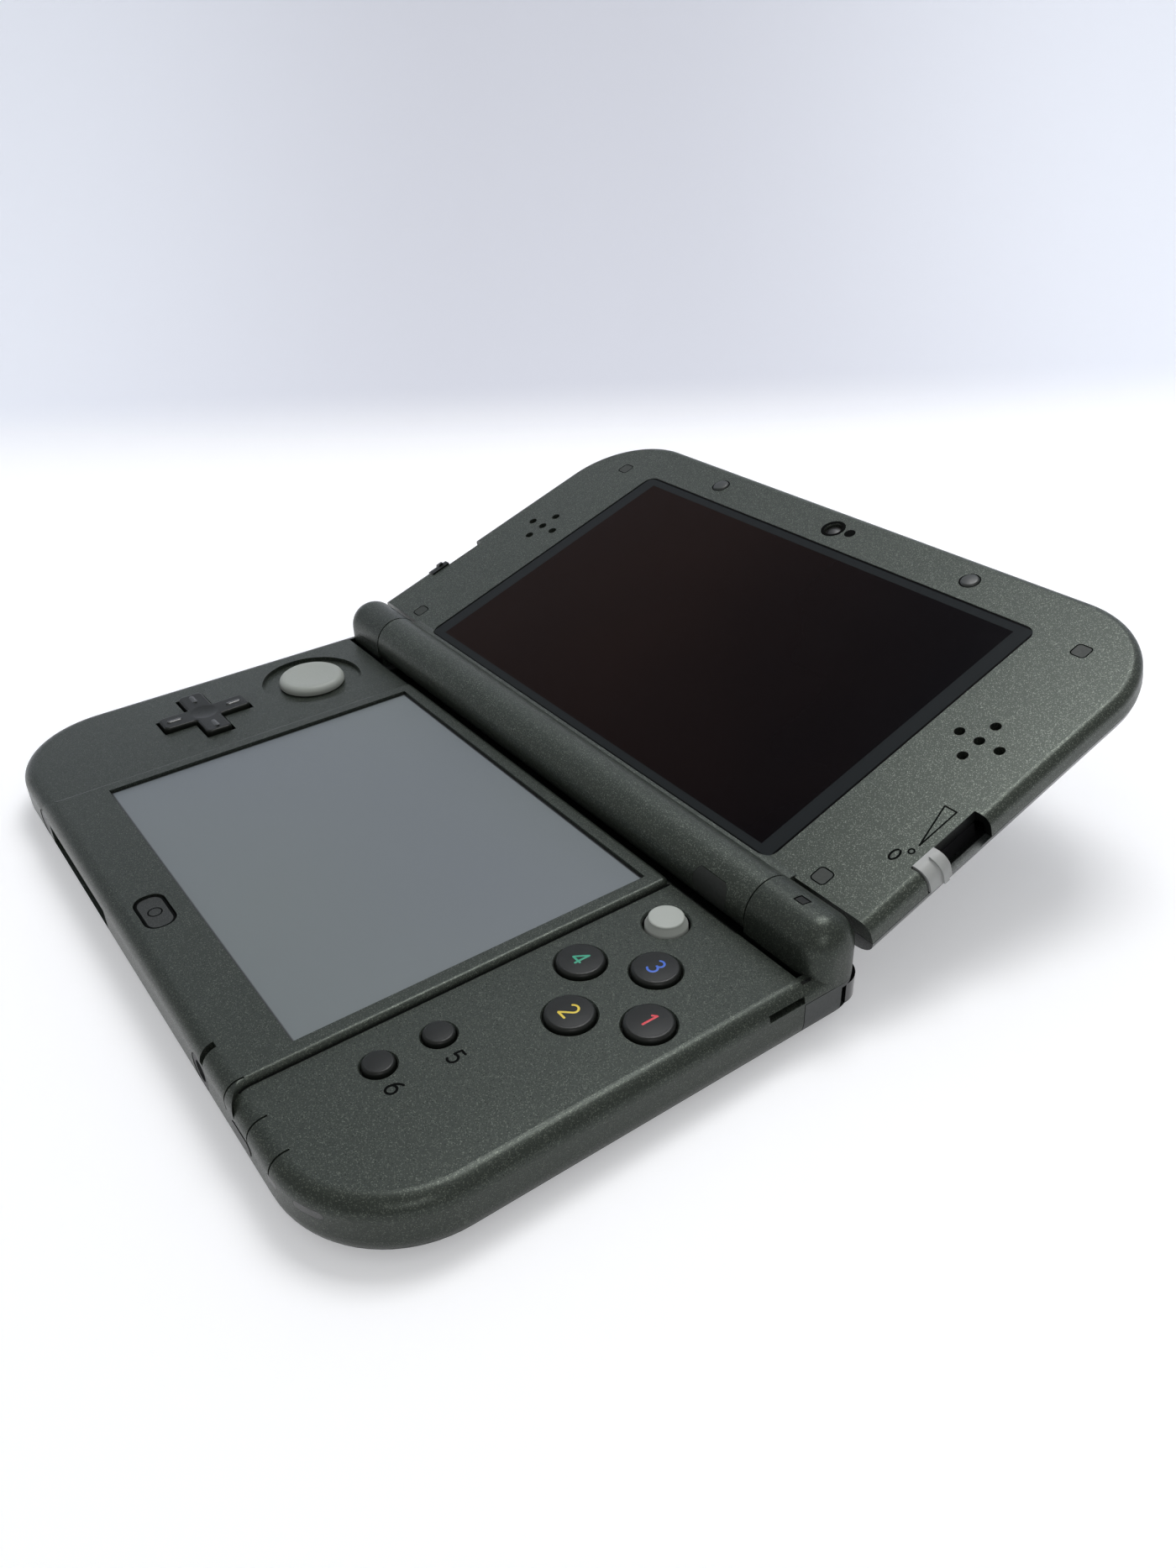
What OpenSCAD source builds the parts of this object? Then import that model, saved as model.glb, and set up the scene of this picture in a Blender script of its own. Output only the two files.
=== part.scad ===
// Clamshell handheld console: a base with controls and a touch screen, and a hinged lid with a wide screen.
// Millimetres. X runs left to right, Y from the front edge to the hinge, Z up from the underside.
// The origin is the centre of the underside. The lid is drawn open, as it stands on a table.

/* [Base] */
// Width of the base and of the lid
body_w = 160; // [152:1:172]
// Depth of the base from its front edge to its back wall
base_d = 92.3; // [91:0.1:100]
// Height of the button decks above the underside
deck_z = 11.2; // [11:0.1:13]
// Step from the button decks up to the frame round the touch screen
frame_rise = 1.1; // [0.6:0.1:1.6]
// Plan radius of the front corners and of the lid's far corners
corner_r = 20; // [14:0.5:24]
// Rounding of the top edge
top_fillet = 2.8; // [2:0.1:3.4]
// Rounding of the bottom edge
bottom_fillet = 4.6; // [3:0.1:4.6]
// Wall thickness of the shells
wall = 1.4; // [1:0.1:1.6]
// Thickness of the button decks
deck_t = 1.5; // [1.2:0.1:1.6]
// Height of the back cover's rim
cover_z = 2.6; // [2.2:0.1:3]
// Line left open where two shells meet
seam_gap = 0.15; // [0.1:0.05:0.25]

/* [Hinge and lid] */
// Opening angle of the lid, counted from closed
lid_opening = 161; // [150:1:170]
// Radius of the hinge barrel
hinge_r = 5.45; // [5:0.05:5.6]
// Height of the hinge axis
hinge_z = 14; // [14:0.1:14.6]
// Length of the barrel between the two knuckles
barrel_len = 126.8; // [116:0.2:130]
// Gap between the lid's face and the screen frame when closed
closed_gap = 0.6; // [0.5:0.1:1]
// Thickness of the lid
lid_t = 8.6; // [8.2:0.1:10]
// Rounding of the lid's inner edge
lid_in_fillet = 2; // [1.2:0.1:2.4]
// Rounding of the lid's outer edge
lid_out_fillet = 5.2; // [4:0.1:5.4]
// Thickness of the lid's inner plate
lid_plate_t = 2; // [1.8:0.1:2.2]
// Height of the seam between the lid's shells, below the inner face
lid_seam_drop = 4.2; // [3.8:0.1:4.6]
// Clearance between a knuckle and the lid beside it
wing_gap = 0.75; // [0.5:0.05:1.2]
// Radius of the hinge pins
pin_r = 2; // [1.5:0.1:2.4]
// Radial clearance of the hinge pins
pin_fit = 0.05; // [0.03:0.01:0.08]
// Depth that a hinge pin reaches into its knuckle
pin_reach = 8; // [5:0.5:9]

/* [Screens] */
// Width of the touch screen's opening
touch_w = 86.3; // [80:0.1:87]
// Depth of the touch screen's opening
touch_d = 65.2; // [60:0.1:65.6]
// Place of the touch screen's centre behind the base's middle
touch_y = -2.25; // [-2.4:0.05:-1.8]
// Depth of the touch surface below its frame
touch_sink = 0.7; // [0.4:0.1:1]
// Width of the frame round the touch screen
frame_w = 92.6; // [92:0.1:94]
// Overlap of each pane behind the edge of its opening
pane_lap = 1.8; // [1.2:0.1:1.8]
// Width of the upper pane
glass_w = 114.4; // [110:0.1:116]
// Height of the upper pane
glass_h = 69.1; // [66:0.1:70]
// Distance from the hinge axis to the upper pane's near edge
glass_u = 6; // [5.9:0.1:6.6]
// Thickness of the panes
glass_t = 1; // [0.8:0.1:1.1]
// Width of the upper display
display_w = 107.2; // [100:0.1:108]
// Height of the upper display
display_h = 64.7; // [60:0.1:65.5]

/* [Face buttons] */
// Radius of a face button
face_r = 4; // [3.6:0.1:4.2]
// Distance of the left and right face buttons from the middle of their group
face_pitch_x = 8.8; // [8:0.1:9.4]
// Distance of the front and back face buttons from the middle of their group
face_pitch_y = 8.2; // [8:0.1:8.6]
// Middle of the face button group, across
face_x = 62.4; // [61.5:0.1:63]
// Middle of the face button group, front to back
face_y = 9.35; // [6:0.05:9.6]
// Height of a face button above its deck
face_rise = 0.9; // [0.6:0.1:1]
// Travel of a pressed button
press_travel = 0.7; // [0.4:0.1:0.8]
// Radius of the two small round buttons
small_r = 2.5; // [2.2:0.1:2.8]
// Place of the two small round buttons, across
small_x = 54; // [52:0.1:60]
// Place of the rear small button
small_y = -16.55; // [-20:0.05:-16]
// Distance between the two small buttons
small_pitch = 10; // [8:0.1:12]
// Height of a small button above its deck
small_rise = 0.8; // [0.5:0.1:1]
// Clearance round a button in its hole
button_gap = 0.22; // [0.15:0.01:0.35]

/* [Home and power buttons] */
// Length of the home button
home_w = 9.7; // [8:0.1:11]
// Width of the home button
home_d = 5.1; // [4.4:0.1:5.3]
// Corner radius of the home button
home_corner_r = 2.2; // [1.6:0.1:2.2]
// Place of the home button behind the front edge
home_inset = 6.2; // [6:0.05:6.4]
// Depth of the home button below its frame
home_sink = 0.25; // [0.1:0.05:0.5]
// Travel of the home button
home_travel = 0.5; // [0.3:0.05:0.6]
// Place of the power button, across
power_x = 50.5; // [47:0.1:54]
// Length of the power button
power_w = 6.6; // [5:0.1:7.4]
// Height of the power button
power_h = 2.4; // [1.8:0.1:2.8]
// Travel of the power button
power_travel = 0.5; // [0.3:0.05:0.7]
// Height of the ports and the power button above the underside
port_z = 6.6; // [6.2:0.1:6.8]

/* [Direction pad] */
// Length of an arm of the direction pad, from its middle
pad_arm = 9.45; // [8.6:0.05:9.8]
// Half the width of an arm
pad_half = 2.7; // [2.4:0.05:3]
// Place of the direction pad, across
pad_x = 62.7; // [62:0.1:64]
// Place of the direction pad, front to back
pad_y = -8.15; // [-16:0.05:-7.5]
// Height of the direction pad above its deck
pad_rise = 1; // [0.8:0.1:1]
// Clearance round the direction pad in its hole
pad_gap = 0.45; // [0.4:0.01:0.6]

/* [Circle pad] */
// Radius of the circle pad's cap
cap_r = 7.3; // [7:0.1:7.8]
// Travel of the circle pad along each of its two slides
cap_travel = 2; // [1.2:0.1:2]
// Height of the cap above its deck
cap_rise = 1.2; // [0.9:0.1:1.4]
// Depth of the round recess that the cap slides in
cap_recess = 0.9; // [0.6:0.1:1]
// Place of the circle pad, across
cap_x = 63.7; // [63:0.1:64.5]
// Place of the circle pad, front to back
cap_y = 17.5; // [16:0.1:17.8]

/* [Pointing nub] */
// Radius of the nub's top
nub_top_r = 3.05; // [2.6:0.05:3.3]
// Radius of the nub where it leaves the deck
nub_r = 3.65; // [3.4:0.05:3.8]
// Height of the nub above its deck
nub_rise = 1.45; // [1:0.05:1.5]
// Clearance round the nub
nub_gap = 0.35; // [0.3:0.01:0.5]
// Place of the nub, across
nub_x = 54.2; // [53:0.1:55]
// Place of the nub, front to back
nub_y = 26.2; // [25:0.1:26.6]

/* [Shoulder buttons and triggers] */
// How far the shoulder buttons stand out of the back wall
shoulder_proud = 1.2; // [0.8:0.1:1.6]
// Length of a shoulder button
shoulder_w = 27.4; // [22:0.1:28]
// Distance from the side of the base to a shoulder button's outer end
shoulder_inset = 0.3; // [0.2:0.1:1.6]
// Height of the shoulder buttons and triggers
shoulder_h = 3.9; // [3.2:0.1:4]
// Height of their lower edge above the underside
shoulder_z = 3.3; // [3.2:0.1:3.4]
// Length of a trigger
trigger_w = 13; // [10:0.1:14]
// Gap between a shoulder button and its trigger
trigger_gap = 0.7; // [0.6:0.05:1]

/* [Sliders and stylus] */
// Length of a slider's slot along the lid's edge
slider_slot = 15.2; // [14:0.1:18]
// Distance from the hinge axis to the slot
slider_u = 19; // [16:0.1:20]
// Length of a slider's knob
slider_knob = 4.9; // [4.4:0.1:6]
// Width of a slot, in from the lid's edge
slider_w = 3.1; // [2.6:0.1:3.3]
// Radius of the stylus
stylus_r = 2.3; // [1.9:0.1:2.3]
// Length of the stylus
stylus_len = 76; // [60:1:77]
// Place of the stylus, across
stylus_x = 49.4; // [49.2:0.1:49.8]

/* [Openings and lenses] */
// Radius of a speaker hole
speaker_hole_r = 1; // [0.6:0.05:1.3]
// Distance between a speaker's holes
speaker_pitch = 4.25; // [3.4:0.05:4.6]
// Place of the speakers, across
speaker_x = 67.1; // [66.5:0.1:68]
// Distance from the hinge axis to the speakers
speaker_u = 47.1; // [44:0.1:60]
// Place of the lid's screws, across
lid_screw_x = 66.9; // [65.6:0.1:68]
// Distance from the hinge axis to the cameras
camera_u = 80.5; // [80:0.1:81]
// Distance between the two outer cameras
camera_pitch = 35; // [28:0.5:50]
// Radius of the outer cameras' windows
camera_r = 3.1; // [2.4:0.1:3.6]
// Place of the lid's bumpers, across
bumper_x = 37; // [30:0.5:41]
// Width of the game card slot
card_w = 33.6; // [30:0.1:34.2]
// Height of the game card slot
card_h = 4.1; // [3.6:0.1:4.1]
// Radius of the headphone socket
jack_r = 1.8; // [1.75:0.01:1.9]
// Place of the headphone socket, across
jack_x = 34.5; // [32:0.1:37]

/* [Hidden] */
$fn = 64;
far = 400;
skin_cut = 0.1;

// Levels and places of the base
half_w = body_w / 2;
front_y = -(base_d + shoulder_proud) / 2;
back_y = front_y + base_d;
frame_z = deck_z + frame_rise;
deck_low = deck_z - deck_t;
hinge_y = back_y - hinge_r;
barrel_x = barrel_len / 2;
knuckle_x = barrel_x + 0.3;
back_r = hinge_r - 0.75;
knuckle_proud = 0.05;
trough_y = hinge_y - hinge_r - 1.1;
trough_z = 7.85;
trough_t = 1;
side_seam_y = trough_y - 0.8;
corner_seam_z = 8.3;
frame_back_y = trough_y - 0.15;
frame_fillet = min(1, frame_rise - 0.1);
frame_low = deck_z - top_fillet;
flare_r = 4.5;
flare_cut = 0.6;
plate_top = cover_z + 1.2;
cover_floor = 1.2;
board_z = plate_top + 0.8;
board_t = 1;
board_top = board_z + board_t;

// Levels and places of the lid, in its own axes: u away from the hinge, n out of the inner face
lid_tilt = 180 - lid_opening;
lid_in = hinge_z - frame_z - closed_gap;
lid_out = lid_in - lid_t;
lid_len = hinge_y - front_y;
lid_seam = lid_in - lid_seam_drop;
lid_under = lid_in - lid_plate_t;
lid_floor = lid_out + wall;
wing_u = hinge_r + wing_gap;
neck_u = 4.6;
cavity_u = wing_u + 1.2;
glass_sink = 0.1;
glass_low = lid_in - glass_sink - glass_t;
display_u = glass_u + 1.7;
screw_u = [wing_u + 3, lid_len - 12.45];

// Buttons
stem_gap = 0.1;
flange_t = 0.7;
flange_lap = 0.7;
hole_edge = 0.25;
pocket_gap = 0.2;

// Touch screen stack
touch_top = frame_z - touch_sink;
touch_low = touch_top - glass_t;
lower_display_t = 1.85;

// Battery and card reader
battery_w = 50;
battery_d = 40;
battery_x = 19;
battery_y = -8;
battery_low = cover_floor + 0.3;
well_top = touch_low - 0.05 - lower_display_t - 0.4;
battery_h = well_top - 0.8 - 0.3 - battery_low;
card_x = -28;
card_z = plate_top + 0.4;
card_d = 33;

screw_spots = [[half_w - 10, front_y + 10.75], [half_w - 8, side_seam_y - 2.7],
    [10 - half_w, front_y + 10.75], [8 - half_w, side_seam_y - 2.7]];
cover_screw_spots = [[half_w - 14, side_seam_y - 8], [14 - half_w, side_seam_y - 30]];

// Shoulder buttons and triggers, drawn for the right side
shoulder_x1 = half_w - shoulder_inset;
shoulder_x0 = shoulder_x1 - shoulder_w;
shoulder_y0 = back_y - 3.45;
shoulder_y1 = back_y + shoulder_proud;
shoulder_pin = [shoulder_x0 + 1.9, back_y - 4.15];
trigger_x1 = shoulder_x0 - trigger_gap;
trigger_x0 = trigger_x1 - trigger_w;
trigger_y0 = back_y - 2.95;
trigger_pin = [trigger_x0 + 1.9, back_y - 3.65];
lever_pin_r = 0.8;
lever_hub_r = 1.8;
lever_slot_z = [shoulder_z - 0.3, shoulder_z + shoulder_h + 0.2];
lever_sweep = 1.3;

// Slides of the circle pad
stem_r = 1.9;
cap_reach = cap_travel * sqrt(2);
key_w = 2;
key_len = 5;
key_gap = 0.1;
cap_floor = deck_z - cap_recess;
cap_low = cap_floor + 0.15;
cap_disc_z = cap_floor - 2.2;
carriage_z = board_top + 1.65;
carriage_t = 0.7;

// Pivots
pad_disc_z = deck_low - 0.7;
rocker_r = 1.2;
rocker_z = pad_disc_z + 0.5 - rocker_r;
nub_pivot_z = board_top + 1.7;

// Edge of a plate seen end on: it ends at length l, from z0 to z1, with its two corners rounded.
module edge_profile(l, z0, z1, top, bottom) {
    translate([0, z0 + bottom]) square([l, z1 - z0 - bottom - top]);
    translate([0, z0]) square([l - bottom, bottom + skin_cut]);
    translate([0, z1 - top - skin_cut]) square([l - top, top + skin_cut]);
    if (top > 0) translate([l - top, z1 - top]) quarter_disc(top);
    if (bottom > 0) translate([l - bottom, z0 + bottom]) mirror([0, 1]) quarter_disc(bottom);
}

// Quarter of a disc, to the right of and above the origin.
module quarter_disc(r) {
    intersection() {
        circle(r);
        square(r + 1);
    }
}

// Plate with rounded corners in plan and rounded top and bottom edges, centred across.
module soft_slab(w, y0, y1, z0, z1, near_r, far_r, top, bottom) {
    h = w / 2;
    translate([0, y1 - far_r, 0]) rotate([90, 0, 0]) linear_extrude(y1 - far_r - y0 - near_r)
        for (s = [0, 1]) mirror([s, 0]) edge_profile(h, z0, z1, top, bottom);
    translate([h - near_r, y0 + near_r, 0]) rotate([90, 0, -90]) linear_extrude(w - 2 * near_r)
        edge_profile(near_r, z0, z1, top, bottom);
    translate([far_r - h, y1 - far_r, 0]) rotate([90, 0, 90]) linear_extrude(w - 2 * far_r)
        edge_profile(far_r, z0, z1, top, bottom);
    for (c = [[h - near_r, y0 + near_r, near_r, -90], [near_r - h, y0 + near_r, near_r, 180],
              [h - far_r, y1 - far_r, far_r, 0], [far_r - h, y1 - far_r, far_r, 90]])
        translate([c[0], c[1], 0]) rotate([0, 0, c[3]]) rotate_extrude(angle = 90)
            edge_profile(c[2], z0, z1, top, bottom);
}

// Everything between two heights.
module band(z0, z1) {
    translate([-far / 2, -far / 2, z0]) cube([far, far, z1 - z0]);
}

// Box from one corner to the opposite one.
module block(a, b) {
    translate(a) cube([b[0] - a[0], b[1] - a[1], b[2] - a[2]]);
}

// Flat outline with round corners, from one corner to the opposite one.
module round_rect(x0, y0, x1, y1, r) {
    translate([x0 + r, y0]) square([x1 - x0 - 2 * r, y1 - y0]);
    translate([x0, y0 + r]) square([x1 - x0, y1 - y0 - 2 * r]);
    for (x = [x0 + r, x1 - r], y = [y0 + r, y1 - r]) translate([x, y]) circle(r);
}

// The same piece on the right and on the left.
module both_sides() {
    children();
    mirror([1, 0, 0]) children();
}

// Places a piece drawn in the lid's own axes.
module in_lid() {
    translate([0, hinge_y, hinge_z]) rotate([lid_tilt, 0, 0]) children();
}

// Outer form of the base below its decks, drawn in by d.
module base_form(d) {
    soft_slab(body_w - 2 * d, front_y + d, back_y - d, d, deck_z - d, corner_r - d, back_r - d,
        top_fillet - d, bottom_fillet - d);
}

// Raised frame round the touch screen: its front edge carries on the base's own rounded edge.
module frame_form() {
    intersection() {
        union() {
            soft_slab(frame_w, front_y - 4, frame_back_y, frame_low, frame_z, 1.2, 1.2, frame_fillet, 0);
            both_sides() frame_flare();
        }
        soft_slab(body_w, front_y, back_y, 0, frame_z, corner_r, back_r, top_fillet, 0);
    }
}

// Hollow curve that leads the frame's side out into its front edge.
module frame_flare() {
    r = flare_r;
    f = frame_fillet;
    translate([frame_w / 2 + r, front_y + r - flare_cut, 0]) difference() {
        translate([-0.6, 0, 0]) rotate([90, 0, -90]) linear_extrude(r + 1.4)
            edge_profile(r + 4, frame_low, frame_z, f, 0);
        translate([0, 0, frame_low - 1]) cylinder(h = far, r = r);
        rotate_extrude() difference() {
            translate([r - skin_cut, frame_z - f]) square([f + skin_cut, f + 1]);
            translate([r + f, frame_z - f]) circle(f);
        }
    }
}

// Right knuckle of the hinge: round on top, with a domed outer end, and straight down to the base.
module knuckle() {
    length = half_w + knuckle_proud - knuckle_x;
    r = hinge_r + knuckle_proud;
    end_r = back_r + knuckle_proud;
    translate([knuckle_x, hinge_y, hinge_z]) rotate([0, 90, 0]) rotate([0, 0, 90]) rotate_extrude(angle = 180)
        edge_profile(r, 0, length, end_r, 0);
    translate([knuckle_x, hinge_y, corner_seam_z - 0.6]) linear_extrude(hinge_z - corner_seam_z + 0.6)
        for (s = [0, 1]) mirror([0, s]) rotate([0, 0, 90]) mirror([0, 1]) edge_profile(r, 0, length, end_r, 0);
}

// Trough behind the frame that the barrel lies in, and the groove in front of each knuckle.
module barrel_trough() {
    block([-knuckle_x, trough_y, trough_z], [knuckle_x, far, far]);
    both_sides() block([knuckle_x - 1, trough_y, deck_low - 1], [half_w - 3, hinge_y - hinge_r + 0.3, far]);
}

// Hollow inside the base's shells.
module base_hollow() {
    difference() {
        soft_slab(body_w - 2 * wall, front_y + wall, back_y - wall, cover_floor, deck_low,
            corner_r - wall, back_r - wall, top_fillet - wall, bottom_fillet - wall);
        block([-far, trough_y - wall, trough_z - trough_t], [far, far, far]);
    }
}

// Room of the rear part of the lower housing: behind the side seam, higher at the corners.
module rear_room(gap) {
    block([-far, side_seam_y + gap, cover_z], [far, far, trough_z - trough_t - 0.2 - gap]);
    both_sides() block([knuckle_x - 1.5 + gap, side_seam_y + gap, cover_z], [far, far, corner_seam_z - gap]);
}

// Slots that the shoulder buttons and triggers swing in.
module lever_slots() {
    both_sides() {
        block([trigger_x0 - 0.3, back_y - 6.6, lever_slot_z[0]],
            [trigger_x1 + trigger_gap / 2, far, lever_slot_z[1]]);
        block([shoulder_x0 - trigger_gap / 2, shoulder_y0 - lever_sweep - 2.4, lever_slot_z[0]],
            [half_w - wall, far, lever_slot_z[1]]);
        block([half_w - wall - 1, shoulder_y0 - lever_sweep, lever_slot_z[0]], [far, far, lever_slot_z[1]]);
    }
}

// Outline of the home button, grown by d.
module home_outline(d) {
    x = home_w / 2 + d;
    y = home_d / 2 + d;
    round_rect(-x, -y, x, y, home_corner_r + d);
}

// Oval with its length across, for the power button and small windows.
module oval(w, h) {
    translate([-(w - h) / 2, -h / 2]) square([w - h, h]);
    for (s = [-1, 1]) translate([s * (w - h) / 2, 0]) circle(h / 2);
}

// Outline of the direction pad.
module cross_outline(arm, half) {
    translate([-arm, -half]) square([2 * arm, 2 * half]);
    translate([-half, -arm]) square([2 * half, 2 * arm]);
}

// Puts a flat outline on the front wall, running back from y by depth.
module on_front(x, z, y, depth) {
    translate([x, y + depth, z]) rotate([90, 0, 0]) linear_extrude(depth) children();
}

// Shallow grooves across the front edge and the microphone's slit.
module front_grooves() {
    difference() {
        for (s = [34.5, 26.8, 19.4])
            block([half_w - s - 0.16, front_y - 1, port_z + 1.4], [half_w - s + 0.16, front_y + 3.5, far]);
        base_form(0.45);
    }
    block([frame_w / 2 - 10.3, front_y - 1, frame_z - 2.6], [frame_w / 2 - 9, front_y + 2.6, frame_z + 1]);
}

// Strap slot in the side wall, with its end at the side seam.
module strap_slot() {
    both_sides() block([half_w - 2.2, side_seam_y - 7.2, 8.6], [far, side_seam_y, 9.8]);
}

// Bore of a knuckle for its hinge pin.
module knuckle_bore() {
    translate([knuckle_x - 1, hinge_y, hinge_z]) rotate([0, 90, 0])
        cylinder(h = pin_reach + 1.3, r = pin_r + pin_fit);
}

// Places of the four face buttons, counted from the right one.
face_spots = [[face_x + face_pitch_x, face_y], [face_x, face_y - face_pitch_y],
    [face_x, face_y + face_pitch_y], [face_x - face_pitch_x, face_y]];
small_spots = [[small_x, small_y], [small_x, small_y - small_pitch]];
home_y = front_y + home_inset;

module back_cover() {
    color([0.24, 0.26, 0.26]) difference() {
        intersection() {
            base_form(0);
            band(0, cover_z - seam_gap);
        }
        base_hollow();
        for (s = cover_screw_spots) translate([s[0], s[1], -1]) {
            cylinder(h = far, r = 1.15);
            cylinder(h = 1.9, r = 2.6);
        }
    }
    // Bosses that carry the cover's two screws
    color([0.24, 0.26, 0.26]) for (s = cover_screw_spots) translate([s[0], s[1], 0.9]) difference() {
        cylinder(h = cover_z - seam_gap - 0.9, r = 3.6);
        translate([0, 0, -1]) cylinder(h = far, r = 1.15);
    }
}

// Chassis plate with the battery well and the stylus tube, and the rear wall with its raised corners.
module lower_housing() {
    inset = wall + seam_gap;
    tube_y0 = front_y + top_fillet + 0.3;
    tube_y1 = side_seam_y - 0.9;
    color([0.22, 0.24, 0.24]) difference() {
        union() {
            difference() {
                intersection() {
                    base_form(0);
                    rear_room(seam_gap);
                }
                base_hollow();
            }
            intersection() {
                base_form(inset);
                block([-far, -far, cover_z], [far, side_seam_y + 1, plate_top]);
            }
            intersection() {
                base_form(wall / 2);
                block([-far, side_seam_y + seam_gap, cover_z], [far, far, plate_top]);
            }
            block([battery_x - battery_w / 2 - 1.1, battery_y - battery_d / 2 - 1.1, cover_z],
                [battery_x + battery_w / 2 + 1.1, battery_y + battery_d / 2 + 1.1, well_top]);
            translate([-stylus_x, tube_y1, port_z]) rotate([90, 0, 0])
                cylinder(h = tube_y1 - tube_y0, r = stylus_r + 0.8);
            for (s = screw_spots) translate([s[0], s[1], cover_z]) cylinder(h = board_z - cover_z, r = 2.4);
            for (s = cover_screw_spots) translate([s[0], s[1], cover_z])
                cylinder(h = board_z - cover_z - 0.1, r = 2.4);
        }
        block([battery_x - battery_w / 2 - 0.3, battery_y - battery_d / 2 - 0.3, 0],
            [battery_x + battery_w / 2 + 0.3, battery_y + battery_d / 2 + 0.3, well_top - 0.8]);
        translate([-stylus_x, tube_y1 - 0.8, port_z]) rotate([90, 0, 0])
            cylinder(h = far, r = stylus_r + pocket_gap);
        for (s = screw_spots) translate([s[0], s[1], 0]) {
            cylinder(h = cover_z + 0.9, r = 1.7);
            cylinder(h = far, r = 1.05);
        }
        for (s = cover_screw_spots) translate([s[0], s[1], 0]) cylinder(h = far, r = 1.05);
        lever_slots();
        on_front(22, plate_top + 1.4, back_y - wall - 1, far) oval(8.8, 2.4);
        on_front(-6, plate_top + 1.4, back_y - wall - 1, far) oval(14.2, 2.4);
    }
    // Pins that the shoulder buttons and triggers turn on
    color([0.22, 0.24, 0.24]) both_sides() for (p = [shoulder_pin, trigger_pin])
        translate([p[0], p[1], lever_slot_z[0] - 0.2]) cylinder(h = shoulder_h + 0.5, r = lever_pin_r);
}

module top_housing() {
    color([0.27, 0.3, 0.29]) difference() {
        union() {
            difference() {
                union() {
                    base_form(0);
                    frame_form();
                }
                barrel_trough();
            }
            both_sides() knuckle();
        }
        band(-far, cover_z);
        rear_room(0);
        difference() {
            base_hollow();
            // Screw bosses and the thicker floor under the circle pad stay
            for (s = screw_spots) translate([s[0], s[1], board_top + 0.1]) cylinder(h = far, r = 2.6);
            translate([-cap_x, cap_y, cap_floor - 1.2]) cylinder(h = far, r = cap_r + cap_reach + 1.9);
        }
        for (s = screw_spots) translate([s[0], s[1], 0]) cylinder(h = deck_low, r = 0.85);
        lever_slots();
        both_sides() knuckle_bore();
        // Touch screen: its opening, the pocket of its pane and the room of its display
        block([-touch_w / 2, touch_y - touch_d / 2, deck_low - 1], [touch_w / 2, touch_y + touch_d / 2, far]);
        block([-touch_w / 2 - pane_lap - pocket_gap, touch_y - touch_d / 2 - pane_lap - pocket_gap,
            deck_low - 1], [touch_w / 2 + pane_lap + pocket_gap, touch_y + touch_d / 2 + pane_lap + pocket_gap,
            touch_top + 0.02]);
        // Holes of the controls
        for (p = face_spots) translate([p[0], p[1], 0]) button_hole(face_r + button_gap);
        for (p = small_spots) translate([p[0], p[1], 0]) button_hole(small_r + button_gap);
        translate([0, home_y, 0]) {
            linear_extrude(far) home_outline(button_gap);
            linear_extrude(frame_z - home_skin) home_outline(flange_lap + pocket_gap);
        }
        translate([-pad_x, pad_y, 0]) linear_extrude(far) cross_outline(pad_arm + pad_gap, pad_half + pad_gap);
        translate([-cap_x, cap_y, cap_floor]) cylinder(h = far, r = cap_r + cap_reach + 0.95);
        translate([-cap_x, cap_y, 0]) cylinder(h = far, r = stem_r + cap_reach + 0.25);
        translate([nub_x, nub_y, 0]) button_hole(nub_r + nub_gap);
        // Front wall: power button, lights, card slot, stylus, headphone socket, grooves and microphone
        on_front(power_x, port_z, front_y - 2, 4) oval(power_w + 0.3, power_h + 0.3);
        status_light_cuts(0.05);
        block([card_x - card_w / 2, front_y - 2, card_z], [card_x + card_w / 2, front_y + wall + 1, card_z + card_h]);
        translate([-stylus_x, front_y + wall + 1, port_z]) rotate([90, 0, 0])
            cylinder(h = 4, r = stylus_r + 0.35);
        translate([jack_x, front_y + wall + 1, port_z]) rotate([90, 0, 0])
            cylinder(h = 4, r = jack_r + 1.3);
        front_grooves();
        strap_slot();
        hinge_light_cut(0.06);
    }
}

// Underside of the skin over the home button's flange
home_skin = 1.2;

// Round hole with a small chamfer at the deck.
module button_hole(r) {
    cylinder(h = far, r = r);
    translate([0, 0, deck_z - hole_edge]) cylinder(h = 2 * hole_edge, r1 = r, r2 = r + 2 * hole_edge);
}

// Outlines of the two light windows near the front right corner, grown by d.
module status_light_cuts(d) {
    on_front(half_w - 18.8, port_z + 1.2, front_y - 2, 5.2) oval(2.8 + 2 * d, 1.4 + 2 * d);
    on_front(half_w - 11.6, port_z + 1.2, front_y - 2, 7.2) oval(4.6 + 2 * d, 1.4 + 2 * d);
}

// Small window on top of the right knuckle, grown by d.
module hinge_light_cut(d) {
    translate([(knuckle_x + half_w) / 2 - 1.05, hinge_y, hinge_z + hinge_r - 1 - d]) linear_extrude(2 + d)
        polygon([[-1.1 - d, -0.8 - d], [0.9 + d, -0.8 - d], [1.2 + d, 0.8 + d], [-0.9 - d, 0.8 + d]]);
}

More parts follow.
